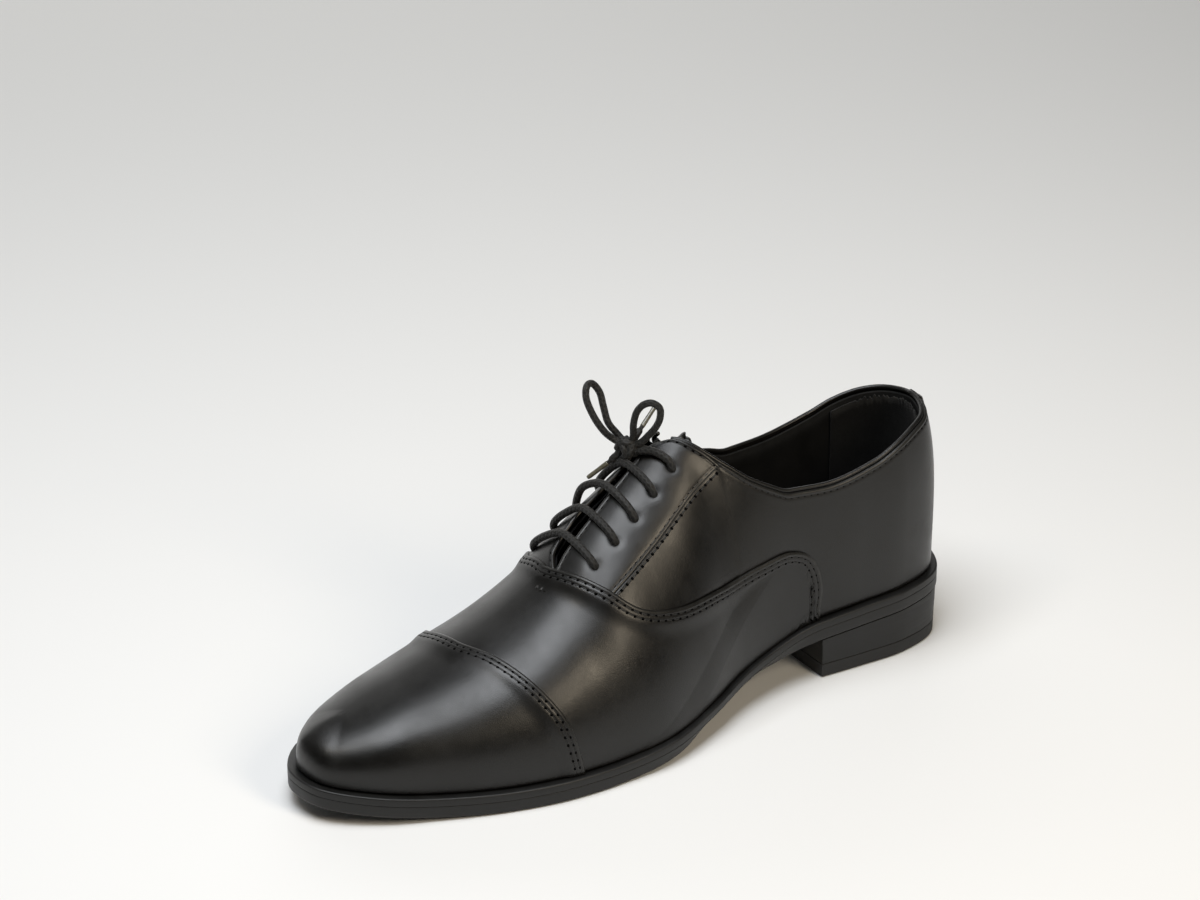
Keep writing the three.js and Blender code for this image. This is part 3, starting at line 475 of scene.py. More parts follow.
angles = np.linspace(-0.6, 2 * math.pi * knot["wraps"] - 0.6, 16)
wrapAxis = np.array([0.35, 0.75, 0.45])
wrapAxis /= np.linalg.norm(wrapAxis)
wrapSide = np.cross(wrapAxis, [0, 0, 1])
wrapSide /= np.linalg.norm(wrapSide)
wrapUp = np.cross(wrapSide, wrapAxis)
wrapPath = [knotCentre + wrapSide * knot["wrapRadius"] * math.cos(a) + wrapUp * knot["wrapRadius"]
            * math.sin(a)
            + wrapAxis * (a / (2 * math.pi) - 0.75) * 2.5 for a in angles]
knotParts = [
    knotStrand("knotWrap", wrapPath),
    knotStrand("knotUnderMedial", [raised(0.568, -0.1, 3.4), raised(0.564, -0.03, 3.8),
                                   knotCentre + [1, -2.4, -3],
                                   knotCentre + [2.2, 0, 0], knotCentre + [0.6, 1.4, 2.6]]),
    knotStrand("knotUnderLateral", [raised(0.568, 0.1, 2.6), raised(0.563, 0.04, 3.2),
                                    knotCentre + [1.8, 0.8, -2.4],
                                    knotCentre + [-0.8, -1.2, -1], knotCentre + [-2.4, -1.6, 1.6],
                                    knotCentre + [-1.4, 0.6, 3.2]]),
    knotStrand("knotCross", [knotCentre + [-3, -3.4, -0.8], knotCentre + [-1.6, -3, 1.8],
                             knotCentre + [1.2, -1.2, 2.6],
                             knotCentre + [2.2, 2, 1.2], knotCentre + [0.6, 3.4, -1.4]]),
]
laceKnot = joinAll("laceKnot", knotParts)
joinFrame(laceKnot, "shoe", "lace_knot")
print("lace, bow and knot laid")


# upper: each leather panel is a grid laid on the last, with a folded edge along its seams
panel = {"thickness": 0.95, "rowOne": 2.0, "rowTwo": 4.0, "pitch": 3.5}
foldSteps = [0, 0.05, 0.16, 0.34, 0.6, 0.95, 1.35, 1.7, 2.0, 2.35, 2.8, 3.3, 3.7, 4.0, 4.35, 4.8, 5.5, 6.4,
             7.6, 9.2, 11]
lapShape = smoothThrough([(0, 0.34), (0.05, 0.6), (0.16, 0.84), (0.34, 1.02), (0.6, 1.15), (0.95, 1.22),
                          (1.35, 1.2),
                          (1.7, 1.1), (2, 1.02), (2.35, 1.08), (2.8, 1.14), (3.3, 1.12), (3.7, 1.02),
                          (4, 0.95),
                          (4.35, 0.99), (4.8, 1.0), (5.5, 0.9), (6.4, 0.72), (7.6, 0.42), (9.2, 0.14),
                          (11, 0)])
rimShape = smoothThrough([(0, 0.8), (0.35, 1), (0.9, 0.8), (1.6, 0.1), (2, 0)])


def bothSides(name, make):  # the medial half mirrors v
    return joinAll(name, [make(1), make(-1)])


def surfaceGrid(name, s, v, lift, rim=None, uv=None):
    return layGrid(name, raised(s, v, lift), surfaceFrame(s, v)[2], rim, uv)


def finishPanel(piece, thickness, *nodes, slot="upper_leather", body="shoe"):
    mergeDoubles(piece)
    applyModifier(piece, "SOLIDIFY", thickness=thickness / 1000, offset=-1)
    pick(piece)
    bpy.ops.object.shade_smooth()
    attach(piece, body)
    if nodes:
        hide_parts(*nodes)
    return piece


# toe cap
capRows = np.concatenate([foldSteps, [13, 15.5]])


def capHalf(side):
    v = side * np.linspace(0, 1.05, 90)[:, None]
    seam = capSeam(v)
    perS = millimetresPerS(seam, v)
    rows = seam - capRows[None, :] / perS
    front = rows[:, -1:] * (1 - np.linspace(0, 1, 44)[None, 1:] ** 0.8)
    tucked = seam + 0.0 * v - 0.35 / perS
    s = np.hstack([tucked, rows, front])
    s[:, -1] = 0
    v = v + 0 * s
    lift = np.hstack([np.full((len(v), 1), -0.7), np.broadcast_to(lapShape(capRows), rows.shape), 0 * front])
    rim = np.hstack([np.full((len(v), 1), 0.8), np.broadcast_to(rimShape(capRows), rows.shape), 0 * front])
    return surfaceGrid(f"capHalf{side}", s, v, lift, rim)


toeCap = finishPanel(bothSides("toeCap", capHalf), panel["thickness"], "toe_cap")

# vamp, with its wings
vampLine = curveThrough([(3 * s, v, 0) for s, v in vampEdgePoints], 40)
vampLengths = lengthsOf(vampLine)
vampPlan = {"columns": 190, "turn": 0.55, "footS": 0.69, "underlap": 7.2}


def vampEdge(t):
    wanted = np.clip(t, 0, 1) * vampLengths[-1]
    return np.interp(wanted, vampLengths, vampLine[:, 0]) / 3, np.interp(wanted, vampLengths, vampLine[:, 1])


def vampDirection(t):
    ahead, behind = vampEdge(t + 0.004), vampEdge(t - 0.004)
    return ahead[0] - behind[0], ahead[1] - behind[1]


def vampHalf(side):
    t = np.linspace(0, 1, vampPlan["columns"])[:, None]
    s0, v0 = vampEdge(t)
    ds, dv = vampDirection(t)
    steps = np.array(foldSteps)[None, :]
    atWing = np.clip((t - 0.62) / 0.12, 0, 1)  # the lap is narrower where the wing turns
    distance = np.where(steps > 4.8, 4.8 + (steps - 4.8) * (1 - 0.72 * atWing), steps + 0 * t)
    s, v = stepSideways(s0 + 0 * distance, v0 + 0 * distance, ds + 0 * distance, dv + 0 * distance, distance)
    v[0], v[-1] = 0, 1.05
    v = np.clip(v, 0, 1.05)
    capV = 1.05 * np.minimum(t / vampPlan["turn"], 1)
    seam = capSeam(side * capV)
    front = seam - vampPlan["underlap"] / millimetresPerS(seam, side * capV)
    onward = np.clip((t - vampPlan["turn"]) / (1 - vampPlan["turn"]), 0, 1)
    frontS = front * (1 - onward) + vampPlan["footS"] * onward
    across = np.linspace(0, 1, 46)[None, 1:]
    tuckedS, tuckedV = stepSideways(s0, v0, ds, dv, 0.35 + 0 * s0)
    s = np.hstack([tuckedS, s, s[:, -1:] * (1 - across) + frontS * across])
    v = np.hstack([np.clip(tuckedV, 0, 1.05), v, v[:, -1:] * (1 - across) + capV * across])
    v[0] = 0
    lift = np.hstack([np.full((len(t), 1), -0.7), np.broadcast_to(lapShape(np.array(foldSteps)),
                                                                  distance.shape),
                      np.zeros((len(t), across.size))])
    rim = np.hstack([np.full((len(t), 1), 0.8), np.broadcast_to(rimShape(np.array(foldSteps)),
                                                                distance.shape),
                     np.zeros((len(t), across.size))])
    lift[:, -across.size:] -= 0.25 * np.clip((across - 0.9) / 0.1, 0, 1)  # the front slips under the cap
    lift[:, 2:] = np.maximum(lift[:, 2:], 0.95 * atWing)  # the wing lies on the quarter
    return surfaceGrid(f"vampHalf{side}", s, side * v, lift, rim)


vamp = finishPanel(bothSides("vampPanel", vampHalf), panel["thickness"], "vamp")

# facings, with a folded edge along the slit and the top, and a round top corner
facing = {"cornerRadius": 9.5, "rearV": 0.4}
facingFold = smoothThrough([(0, -1.0), (0.06, -0.6), (0.25, -0.18), (0.55, 0.08), (0.95, 0.2), (1.4, 0.14),
                            (1.8, -0.02),
                            (2.1, -0.12), (2.45, -0.03), (3, 0.06), (4, 0.03), (5.5, 0)])
edgeSteps = [0, 0.06, 0.25, 0.55, 0.95, 1.4, 1.8, 2.1, 2.45, 3, 4, 5.5]
seamLift = smoothThrough([(0, -0.25), (0.06, 0.05), (0.2, 0.25), (0.45, 0.36), (0.8, 0.36), (1.2, 0.26),
                          (1.5, 0.2),
                          (1.9, 0.26), (2.6, 0.28), (4, 0.2), (8, 0)])


def facingPlace(side):
    perV = 75.0
    width = (facing["rearV"]) * perV
    toRear = np.array([4, 2.6, 1.9, 1.5, 1.2, 0.8, 0.45, 0.2, 0.06, 0])
    fromSlit = np.concatenate([edgeSteps, np.linspace(6.8, width - 5.2, 14), width - toRear])
    share = fromSlit / width
    length = 82.0
    fromTop = np.concatenate([edgeSteps, np.linspace(6.8, length, 62)])
    x = fromSlit[:, None] + 0 * fromTop[None, :]
    y = fromTop[None, :] + 0 * fromSlit[:, None]
    r = facing["cornerRadius"]
    inCorner = (x < r) & (y < r)
    a, b = np.clip((r - x) / r, 0, 1), np.clip((r - y) / r, 0, 1)
    xRound = np.where(inCorner, r - r * a * np.sqrt(1 - b**2 / 2), x)
    yRound = np.where(inCorner, r - r * b * np.sqrt(1 - a**2 / 2), y)
    edge = np.where((xRound < r) & (yRound < r), r - np.hypot(r - xRound, r - yRound),
                    np.minimum(xRound, yRound))
    edge = np.maximum(edge, 0)
    guessV = xRound / width * facing["rearV"]
    top = facingTop(guessV)
    s = top - yRound / length * (top - facingFoot(guessV))
    slit = slitLateral(s) if side > 0 else -slitMedial(s)
    v = slit + (facing["rearV"] - slit) * xRound / width
    return s, v, edge, width - x, y


def facingPanel(side):
    s, v, edge, fromRear, _ = facingPlace(side)
    lift = facingFold(edge) + seamLift(fromRear) * np.clip(edge / 2, 0, 1)
    for i in range(eyelets["count"]):  # leather drawn in round each blind eyelet
        middle = surfacePoint(eyeletS(i), eyeletV(side))
        away = np.linalg.norm(surfacePoint(s, side * v) - middle, axis=-1)
        lift = lift - 0.75 * np.exp(-(away / 2.3) ** 2)
    rim = np.maximum(rimShape(edge), 0.7 * rimShape(fromRear))
    name = "lateral" if side > 0 else "medial"
    return finishPanel(surfaceGrid(f"facing-{name}", s, side * v, lift, rim), panel["thickness"],
                       f"facing_{name}")


facings = [facingPanel(1), facingPanel(-1)]

# quarters
quarterFoot = smoothThrough([(0.42, 0.41), (0.428, 0.43), (0.445, 0.505), (0.464, 0.58), (0.519, 0.7),
                             (0.593, 0.77),
                             (0.66, 0.8), (0.7, 0.815), (0.722, 0.845), (0.736, 0.9), (0.744, 1.05),
                             (1, 1.05)])
quarter = {"front": 0.425, "underFacing": 0.345}


def quarterHead(s):
    return np.maximum(topLine(s), quarter["underFacing"])


def quarterPanel(side):
    s = np.concatenate([np.linspace(quarter["front"], 0.72, 100), np.linspace(0.722, 0.75, 18),
                        np.linspace(0.754, 0.985, 72),
                        [0.988, 0.991, 0.994, 0.996, 0.9975, 0.9985, 0.9993, 1]])[:, None]
    head, foot = quarterHead(s), quarterFoot(s)
    perV = millimetresPerV(s, side * head)
    steps = np.array(edgeSteps)[None, :] / perV
    steps = steps * np.minimum(1, 0.5 * (foot - head) / steps[:, -1:])
    rest = np.linspace(0, 1, 44)[None, 1:]
    v = np.hstack([head + steps, (head + steps[:, -1:]) * (1 - rest) + foot * rest])
    edge = np.hstack([np.array(edgeSteps)[None, :] + 0 * s, 6 + 0 * s * rest + 40 * rest])
    openEdge = np.clip((s - 0.628) / 0.004, 0, 1)
    lift = facingFold(edge) * openEdge - 0.3 * (1 - openEdge)
    lift = lift * 1.0 - 0.3 * np.exp(-((1 - s) * 330 / 0.45) ** 2)  # back seam
    underFacing = np.clip((facing["rearV"] + 0.004 - v) / 0.02, 0, 1)
    lift = lift - 0.75 * underFacing * (s < 0.66) - 0.25 * np.clip((v - foot + 0.06) / 0.03, 0, 1)
    rim = rimShape(edge) * openEdge
    name = "lateral" if side > 0 else "medial"
    return finishPanel(surfaceGrid(f"quarter-{name}", s + 0 * v, side * v, lift, rim), panel["thickness"],
                       f"quarter_{name}")


quarters = [quarterPanel(1), quarterPanel(-1)]

# back strip: a small tab over the back seam, a little loose at its foot
backStrip = {"halfWidth": 0.0172, "headV": 0.503, "footV": 0.705}
u = np.linspace(-1, 1, 41)[:, None]
w = np.concatenate([[0, 0.01, 0.03, 0.06], np.linspace(0.1, 0.9, 30), [0.94, 0.97, 0.99, 1]])[None, :]
roundFoot = np.sqrt(np.clip(1 - (np.clip(w - 0.8, 0, 1) / 0.2) ** 2, 0, 1))
stripS = 1 + u * backStrip["halfWidth"] * (0.82 + 0.18 * w) * np.maximum(roundFoot, 0.03)
stripV = backStrip["headV"] + (backStrip["footV"] - backStrip["headV"]) * w + 0 * u
side = np.minimum(1 - np.abs(u), 1) * 5.7 + 0 * w
ends_ = np.minimum(w, 1 - w) * 19 + 0 * u
near = np.minimum(side, ends_)
stripEdge = np.sqrt(np.clip(1 - (1 - np.clip(near / 0.6, 0, 1)) ** 2, 0, 1))
stripLift = 0.35 + 0.85 * stripEdge + 0.9 * np.clip(w - 0.45, 0, 1) ** 1.5 * 2  # the foot stands off a little
tab = surfaceGrid("backStrip", stripS, stripV, stripLift, rimShape(near))
finishPanel(tab, 0.9, "back_strip")

# topline binding: a thin rolled edge round the opening
bindingS = np.linspace(0.597, 1, 150)


def bindingHalf(side):
    v = np.maximum(topLine(bindingS), 0)
    _, alongV, normal = surfaceFrame(bindingS, side * v)
    across = alongV / np.linalg.norm(alongV, axis=-1, keepdims=True)
    return surfacePoint(bindingS, side * v) - across * side * 0.75 - normal * 1.75


binding = layTube("toplineBinding", evenly(np.vstack([bindingHalf(1), bindingHalf(-1)[::-1][1:]]), 420), 0.95,
                  14)
joinFrame(binding, "shoe", "topline_binding")

# linings
lining = {"depth": 3.3, "thickness": 0.8, "join": 0.372}


def quarterLiningHalf(side):
    s = np.concatenate([np.linspace(0.376, 0.58, 50), np.linspace(0.584, 0.66, 30),
                        np.linspace(0.664, 1, 90)])[:, None]
    slit = (slitLateral(s) if side > 0 else -slitMedial(s)) + 0.016
    rise = np.clip((s - 0.57) / 0.025, 0, 1)  # from the slit up to the topline
    head = slit * (1 - rise) + np.maximum(topLine(s), slit) * rise + 0.006
    v = head + (1 - head) * np.linspace(0, 1, 46)[None, :] ** 1.15
    edge = (v - head) * 62
    lift = -lining["depth"] + 0.9 * np.exp(-(edge / 1.3) ** 2) * (s > 0.6)
    return surfaceGrid(f"liningHalf{side}", s + 0 * v, side * v, lift, rimShape(edge))


def vampLiningHalf(side):
    s = (np.linspace(0, 1, 60)[:, None] ** 1.3) * lining["join"]
    v = np.linspace(0, 1, 46)[None, :]
    return surfaceGrid(f"vampLiningHalf{side}", s + 0 * v, side * (v + 0 * s), -lining["depth"] + 0 * s * v)


quarterLining = finishPanel(bothSides("quarterLining", quarterLiningHalf), lining["thickness"],
                            "quarter_lining", slot="lining_leather")
vampLining = finishPanel(bothSides("vampLining", vampLiningHalf), lining["thickness"], "vamp_lining",
                         slot="lining_leather")


def gripHalf(side):
    s = np.linspace(0.862, 1, 70)[:, None]
    worn = 0.008 * np.sin(61 * s * 9) * np.sin(23 * s * 9 + 1) + 0.004 * np.sin(170 * s * 5)
    head = topLine(s) + 0.02 + worn * (s > 0.9)
    v = head + (1 - head) * np.linspace(0, 1, 40)[None, :] ** 1.4
    away = np.minimum((v - head) * 62, (s - 0.862) * 330 + 0 * v)
    lift = -lining["depth"] - 0.95 - 0.5 * np.clip(away / 1.2, 0, 1)
    return surfaceGrid(f"gripHalf{side}", s + 0 * v, side * v, lift, rimShape((v - head) * 62))


heelGrip = finishPanel(bothSides("heelGrip", gripHalf), 0.7, "heel_grip", slot="heel_grip_suede")

# tongue
tongue = {"front": 0.38, "back": 0.622, "halfV": 0.335, "depth": 9.4}
ts = np.linspace(tongue["front"], tongue["back"], 80)[:, None]
tv = np.linspace(-tongue["halfV"], tongue["halfV"], 60)[None, :]
topRound = np.clip((ts - 0.6) / 0.022, 0, 1)
ts2 = ts - 0.008 * topRound * (tv / tongue["halfV"]) ** 2
tongueEdge = np.minimum((tongue["halfV"] - np.abs(tv)) * 75, (tongue["back"] - ts) * 330)
tongueLift = -tongue["depth"] - 0.35 + 0.35 * np.sqrt(np.clip(1 - (1 - np.clip(tongueEdge / 1.2, 0, 1)) ** 2,
                                                              0, 1))
tonguePiece = surfaceGrid("tongue", ts2 + 0 * tv, tv + 0 * ts, tongueLift, rimShape(tongueEdge))
tonguePiece.name = tonguePiece.data.name = "tonguePanel"
finishPanel(tonguePiece, 1.6, "tongue", body="tongue")
print("upper, linings and tongue made")

# stitching: one stitch is modelled, then copied along each row
stitch = {"length": 3.0, "radius": 0.36, "height": 0.2, "hole": 0.68}


def modelStitch():
    deselectAll()
    bpy.ops.mesh.primitive_uv_sphere_add(segments=8, ring_count=5, radius=1)
    thread = bpy.context.object
    pick(thread)
    bpy.ops.object.mode_set(mode="EDIT")
    bpy.ops.mesh.select_all(action="SELECT")
    bpy.ops.transform.rotate(value=math.pi / 2, orient_axis="Y", center_override=(0, 0, 0))
    bpy.ops.transform.resize(value=(stitch["length"] / 2000, stitch["radius"] / 1000,
                                    stitch["height"] / 1000))
    bpy.ops.object.mode_set(mode="OBJECT")
    bpy.ops.object.shade_smooth()
    # a flat black cone at each needle hole: painted shade of the hole
    bpy.ops.mesh.primitive_cone_add(vertices=8, radius1=0.0003, radius2=stitch["hole"] / 1000, depth=0.00012,
                                    location=(stitch["length"] / 2000 + 0.00025, 0, 0.00001),
                                    end_fill_type="NGON")
    holeShadeDisc = bpy.context.object
    bpy.ops.object.shade_smooth()
    thread.data.materials.append(bpy.data.materials.new("threadSlot"))
    holeShadeDisc.data.materials.append(bpy.data.materials.new("holeShadeSlot"))
    made = joinAll("stitchMaster", [thread, holeShadeDisc])
    bpy.ops.object.transform_apply(location=True, rotation=True, scale=True)
    return made


master = modelStitch()


def sewRow(name, s, v, lift, pitch=panel["pitch"], start=0.5):
    line = raised(s, v, lift)
    lengths = lengthsOf(line)
    count = max(int(round((lengths[-1] - 1) / pitch)), 1)
    at = start * pitch + np.arange(count) * (lengths[-1] - start * pitch) / count
    param = np.interp(at, lengths, np.arange(len(s)))
    si, vi = np.interp(param, np.arange(len(s)), s), np.interp(param, np.arange(len(s)), v)
    places = toFrame(raised(si, vi, np.interp(param, np.arange(len(s)), np.broadcast_to(lift, len(s)))))
    ups = surfaceFrame(si, vi)[2]
    after, before = (np.stack([np.interp(at + step, lengths, line[:, k]) for k in range(3)],
                              -1) for step in (0.4, -0.4))
    ahead = after - before
    copies = []
    for place, up, along in zip(places, ups, ahead):
        up = Vector(up)
        x = Vector(along)
        x = (x - up * x.dot(up)).normalized()
        y = up.cross(x)
        copy = master.copy()
        copy.data = master.data.copy()
        copy.matrix_world = Matrix.Translation(Vector(place)) @ Matrix((x, y, up)).transposed().to_4x4()
        scene.collection.objects.link(copy)
        copies.append(copy)
    made = joinAll(name, copies)
    bpy.ops.object.transform_apply(location=True, rotation=True, scale=True)
    return made


def seamPiece(name, rows, body="shoe"):
    made = joinAll(name, rows)
    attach(made, body)
    return made


seams = []
v = np.linspace(-0.985, 0.985, 900)
for index, distance in enumerate((panel["rowOne"], panel["rowTwo"])):
    s = capSeam(v) - distance / millimetresPerS(capSeam(v), v)
    seams.append(sewRow(f"capRow{index}", s, v, lapShape(distance) - 0.02, start=0.5 - 0.4 * index))
t = np.linspace(0.002, 0.985, 900)
for index, distance in enumerate((panel["rowOne"], panel["rowTwo"])):
    s0, v0 = vampEdge(t)
    ds, dv = vampDirection(t)
    s, v = stepSideways(s0, v0, ds, dv, distance + 0 * t)
    keep = v < 0.985
    for side in (1, -1):
        seams.append(sewRow(f"vampRow{index}{side}", s[keep], side * v[keep], lapShape(distance) - 0.02,
                            start=0.5 - 0.4 * index))
for side in (1, -1):
    s = np.linspace(0.436, 0.6305, 400)
    perV = millimetresPerV(s, side * 0.4 + 0 * s)
    seams.append(sewRow(f"rearRowA{side}", s, side * (0.4 - 1.5 / perV), 0.16 + 0 * s, pitch=3.36))
    seams.append(sewRow(f"rearRowB{side}", s, side * (0.4 + 1.5 / perV), -0.02 + 0 * s, pitch=3.36,
                        start=0.1))
    placeS, placeV, edge, fromRear, fromTop = facingPlace(side)
    row = 7  # the column and the row of the fold that lie at the stitch distance
    slitRow = [(placeS[row, j], placeV[row, j]) for j in range(placeS.shape[1] - 9, row, -1)]
    topRow = [(placeS[i, row], placeV[i, row]) for i in range(row, placeS.shape[0] - 8)]
    edgeRow = np.array(slitRow + topRow)
    seams.append(sewRow(f"edgeRow{side}", edgeRow[:, 0], side * edgeRow[:, 1], -0.12 + 0 * edgeRow[:, 0],
                        pitch=3.6))
    s = np.linspace(0.638, 0.98, 500)
    v = topLine(s) + 2.1 / millimetresPerV(s, side * topLine(s))
    seams.append(sewRow(f"topRow{side}", s, side * v, -0.12 + 0 * s, pitch=3.0))
stitching = seamPiece("stitching", seams)
bpy.data.objects.remove(master)
print("seams sewn:", len(stitching.data.polygons), "faces")


# sole unit
sole = {"thickness": 5.0, "stations": 170, "heelBreast": 78}
soleS = (1 - np.cos(np.pi * np.linspace(0, 1, sole["stations"]))) / 2
soleS = 0.75 * np.linspace(0, 1, sole["stations"]) + 0.25 * soleS


def ringAt(inset, height):  # closed ring round the plan, at a height above the sole's underside
    lateral, medial = (side(soleS) for side in sidesOf(insetPlan(inset)))
    ring = np.vstack([lateral, medial[::-1][1:]])
    return np.hstack([ring, (bottomHeight(ring[:, 1]) + height)[:, None]])


def fillAt(inset, height, across=14):
    lateral, medial = (side(soleS) for side in sidesOf(insetPlan(inset)))
    t = np.linspace(0, 1, across)[None, :, None]
    flat = lateral[:, None] * (1 - t) + medial[:, None] * t
    return np.concatenate([flat, (bottomHeight(flat[..., 1]) + height)[..., None]], -1)


def arcSteps(fromAngle, toAngle, radius, inset, height, count=4):  # rounded edge in a wall's section
    angles = np.radians(np.linspace(fromAngle, toAngle, count + 1))
    return [(inset - radius * math.cos(a), height + radius * math.sin(a)) for a in angles]


waistBevel = smoothThrough([(-40, 0), (-5, 1.5), (20, 5.5), (42, 5), (60, 2), (74, 0)])


def bevelled(ring, inset, height):  # the waist's edge is pared away underneath
    share = np.clip(1 - height / sole["thickness"], 0, 1) * np.clip(1 - inset / 30, 0, 1)
    moved = ring.copy()
    moved[:, 0] -= np.sign(ring[:, 0]) * waistBevel(ring[:, 1]) * share
    return moved


def soleBand(name, profile, closed):
    rings = [bevelled(ringAt(inset, height), inset, height) for inset, height in profile]
    if closed:
        rings.append(rings[0])
    return layGrid(name, np.stack(rings, 1))


def finishSole(piece, slot, *nodes):
    mergeDoubles(piece, recalculate=True, gap=4e-6)
    pick(piece)
    bpy.ops.object.shade_smooth_by_angle(angle=math.radians(38))
    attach(piece, "shoe")
    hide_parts(*nodes)
    return piece


outsoleProfile = [*arcSteps(-90, 0, 0.9, 0.9, 0.9), (0.0, 2.6), (0.0, 4.2),
                  *arcSteps(0, 90, 0.18, 0.18, 4.87, 3)]
underFill = fillAt(0.9, 0.0)
underEdge = [bevelled(underFill[:, k], 0.9, 0.0) for k in (0, -1)]
w = np.linspace(0, 1, underFill.shape[1])[None, :, None]
underFill = underEdge[0][:, None] * (1 - w) + underEdge[1][:, None] * w
outsole = joinAll("outsolePiece", [soleBand("outsoleWall", outsoleProfile, False),
                                   layGrid("outsoleUnder", underFill),
                                   layGrid("outsoleTop", fillAt(0.18, 5.05))])
finishSole(outsole, "sole_edge", "outsole")

weltProfile = [(8.5, 5.15), (0.2, 5.15), (0.03, 5.22), (0.0, 5.4), (0.0, 6.4),
               *arcSteps(0, 90, 0.75, 0.75, 7.65, 5),
               (1.6, 8.4), (2.6, 8.32), (3.6, 8.2), (5.4, 8.15), (8.5, 8.2)]
welt = finishSole(soleBand("weltPiece", weltProfile, True), "sole_edge", "welt")


def heelPlan(inset, across=14, count=44):  # front line and both sides, behind the breast
    sides = sidesOf(insetPlan(inset))
    breast = sole["heelBreast"] + inset
    fine = np.linspace(0.5, 1, 4000)
    starts = [np.interp(breast, side(fine)[:, 1], fine) for side in sides]
    t = np.sin(np.linspace(0, 1, count) * math.pi / 2)
    lateral, medial = (side(start + (1 - start) * t) for side, start in zip(sides, starts))
    w = np.linspace(0, 1, across)[None, :, None]
    return lateral, medial, lateral[:, None] * (1 - w) + medial[:, None] * w


def heelRing(inset, height):
    lateral, medial, grid = heelPlan(inset)
    ring = np.vstack([grid[0][::-1], lateral[1:], medial[::-1][1:]])
    z = height(ring[:, 1]) if callable(height) else height + 0 * ring[:, 1]
    return np.hstack([ring, z[:, None]])


def heelFill(inset, height):
    grid = heelPlan(inset)[2]
    z = height(grid[..., 1]) if callable(height) else height + 0 * grid[..., 1]
    return np.concatenate([grid, z[..., None]], -1)


def heelPart(name, levels, slot, node):
    wall = layGrid(name + "Wall", np.stack([heelRing(inset, height) for inset, height in levels], 1))
    lids = [layGrid(name + "Lid", heelFill(*levels[0])), layGrid(name + "Base", heelFill(*levels[-1]))]
    made = joinAll(name, [wall, *lids])
    mergeDoubles(made, recalculate=True, gap=4e-6)
    applyModifier(made, "BEVEL", width=0.0006, segments=3, limit_method="ANGLE", angle_limit=math.radians(50))
    return finishSole(made, slot, node)


heelBlock = heelPart("heelStack", [
    (0.95, 6.12), (0.72, 6.3), (0.68, 8.5), (0.62, 12), (0.5, 15.5), (0.4, lambda y: bottomHeight(y) - 1.4),
    (0.42, lambda y: bottomHeight(y) - 0.35), (0.9, lambda y: bottomHeight(y) - 0.05)], "heel_stack",
    "heel_block")
topPiece = heelPart("topPiece", [
    (1.5, 0.0), (1.05, 0.25), (0.85, 0.8), (0.8, 2.5), (0.74, 5.2), (0.78, 5.75), (1.0, 5.95)], "heel_rubber",
    "top_piece")

sock = joinAll("sockLining", [
    soleBand("sockEdge", [(10.2, 11.6), (9.6, 11.8), (9.5, 12.2), (9.9, 12.55), (11, 12.65)], False),
    layGrid("sockTop", fillAt(11, 12.65, 18)), layGrid("sockUnder", fillAt(10.2, 11.6, 18))])
finishSole(sock, "insole_leather", "sock_lining")
print("sole unit made")


# materials
def addNode(tree, kind, inputs=None, **values):
    made = tree.nodes.new(kind)
    for key, value in values.items():
        setattr(made, key, value)
    for key, value in (inputs or {}).items():
        if isinstance(value, bpy.types.NodeSocket):
            tree.links.new(value, made.inputs[key])
        else:
            made.inputs[key].default_value = value
    return made


def newGroup(name, inputs, outputs):
    tree = bpy.data.node_groups.new(name, "ShaderNodeTree")
    for label, kind, value in inputs:
        socket = tree.interface.new_socket(label, in_out="INPUT", socket_type=kind)
        if value is not None:
            socket.default_value = value
    for label, kind in outputs:
        tree.interface.new_socket(label, in_out="OUTPUT", socket_type=kind)
    return tree, tree.nodes.new("NodeGroupInput").outputs, tree.nodes.new("NodeGroupOutput").inputs


def mathNode(tree, operation, a, b=0.0, clamp=False):
    made = addNode(tree, "ShaderNodeMath", operation=operation, use_clamp=clamp)
    for index, value in enumerate((a, b)):
        if isinstance(value, bpy.types.NodeSocket):
            tree.links.new(value, made.inputs[index])
        else:
            made.inputs[index].default_value = value
    return made.outputs[0]


def times(tree, a, b, **more):
    return mathNode(tree, "MULTIPLY", a, b, **more)


def plus(tree, a, b, **more):
    return mathNode(tree, "ADD", a, b, **more)


def noise(tree, place, scale, detail, **more):
    inputs = {"Vector": place, "Scale": scale, "Detail": detail, **more}
    return addNode(tree, "ShaderNodeTexNoise", inputs).outputs["Fac"]


def spread(tree, value, low, high, newLow=0.0, newHigh=1.0):
    return addNode(tree, "ShaderNodeMapRange", {"Value": value, "From Min": low, "From Max": high,
                                                "To Min": newLow, "To Max": newHigh}).outputs["Result"]


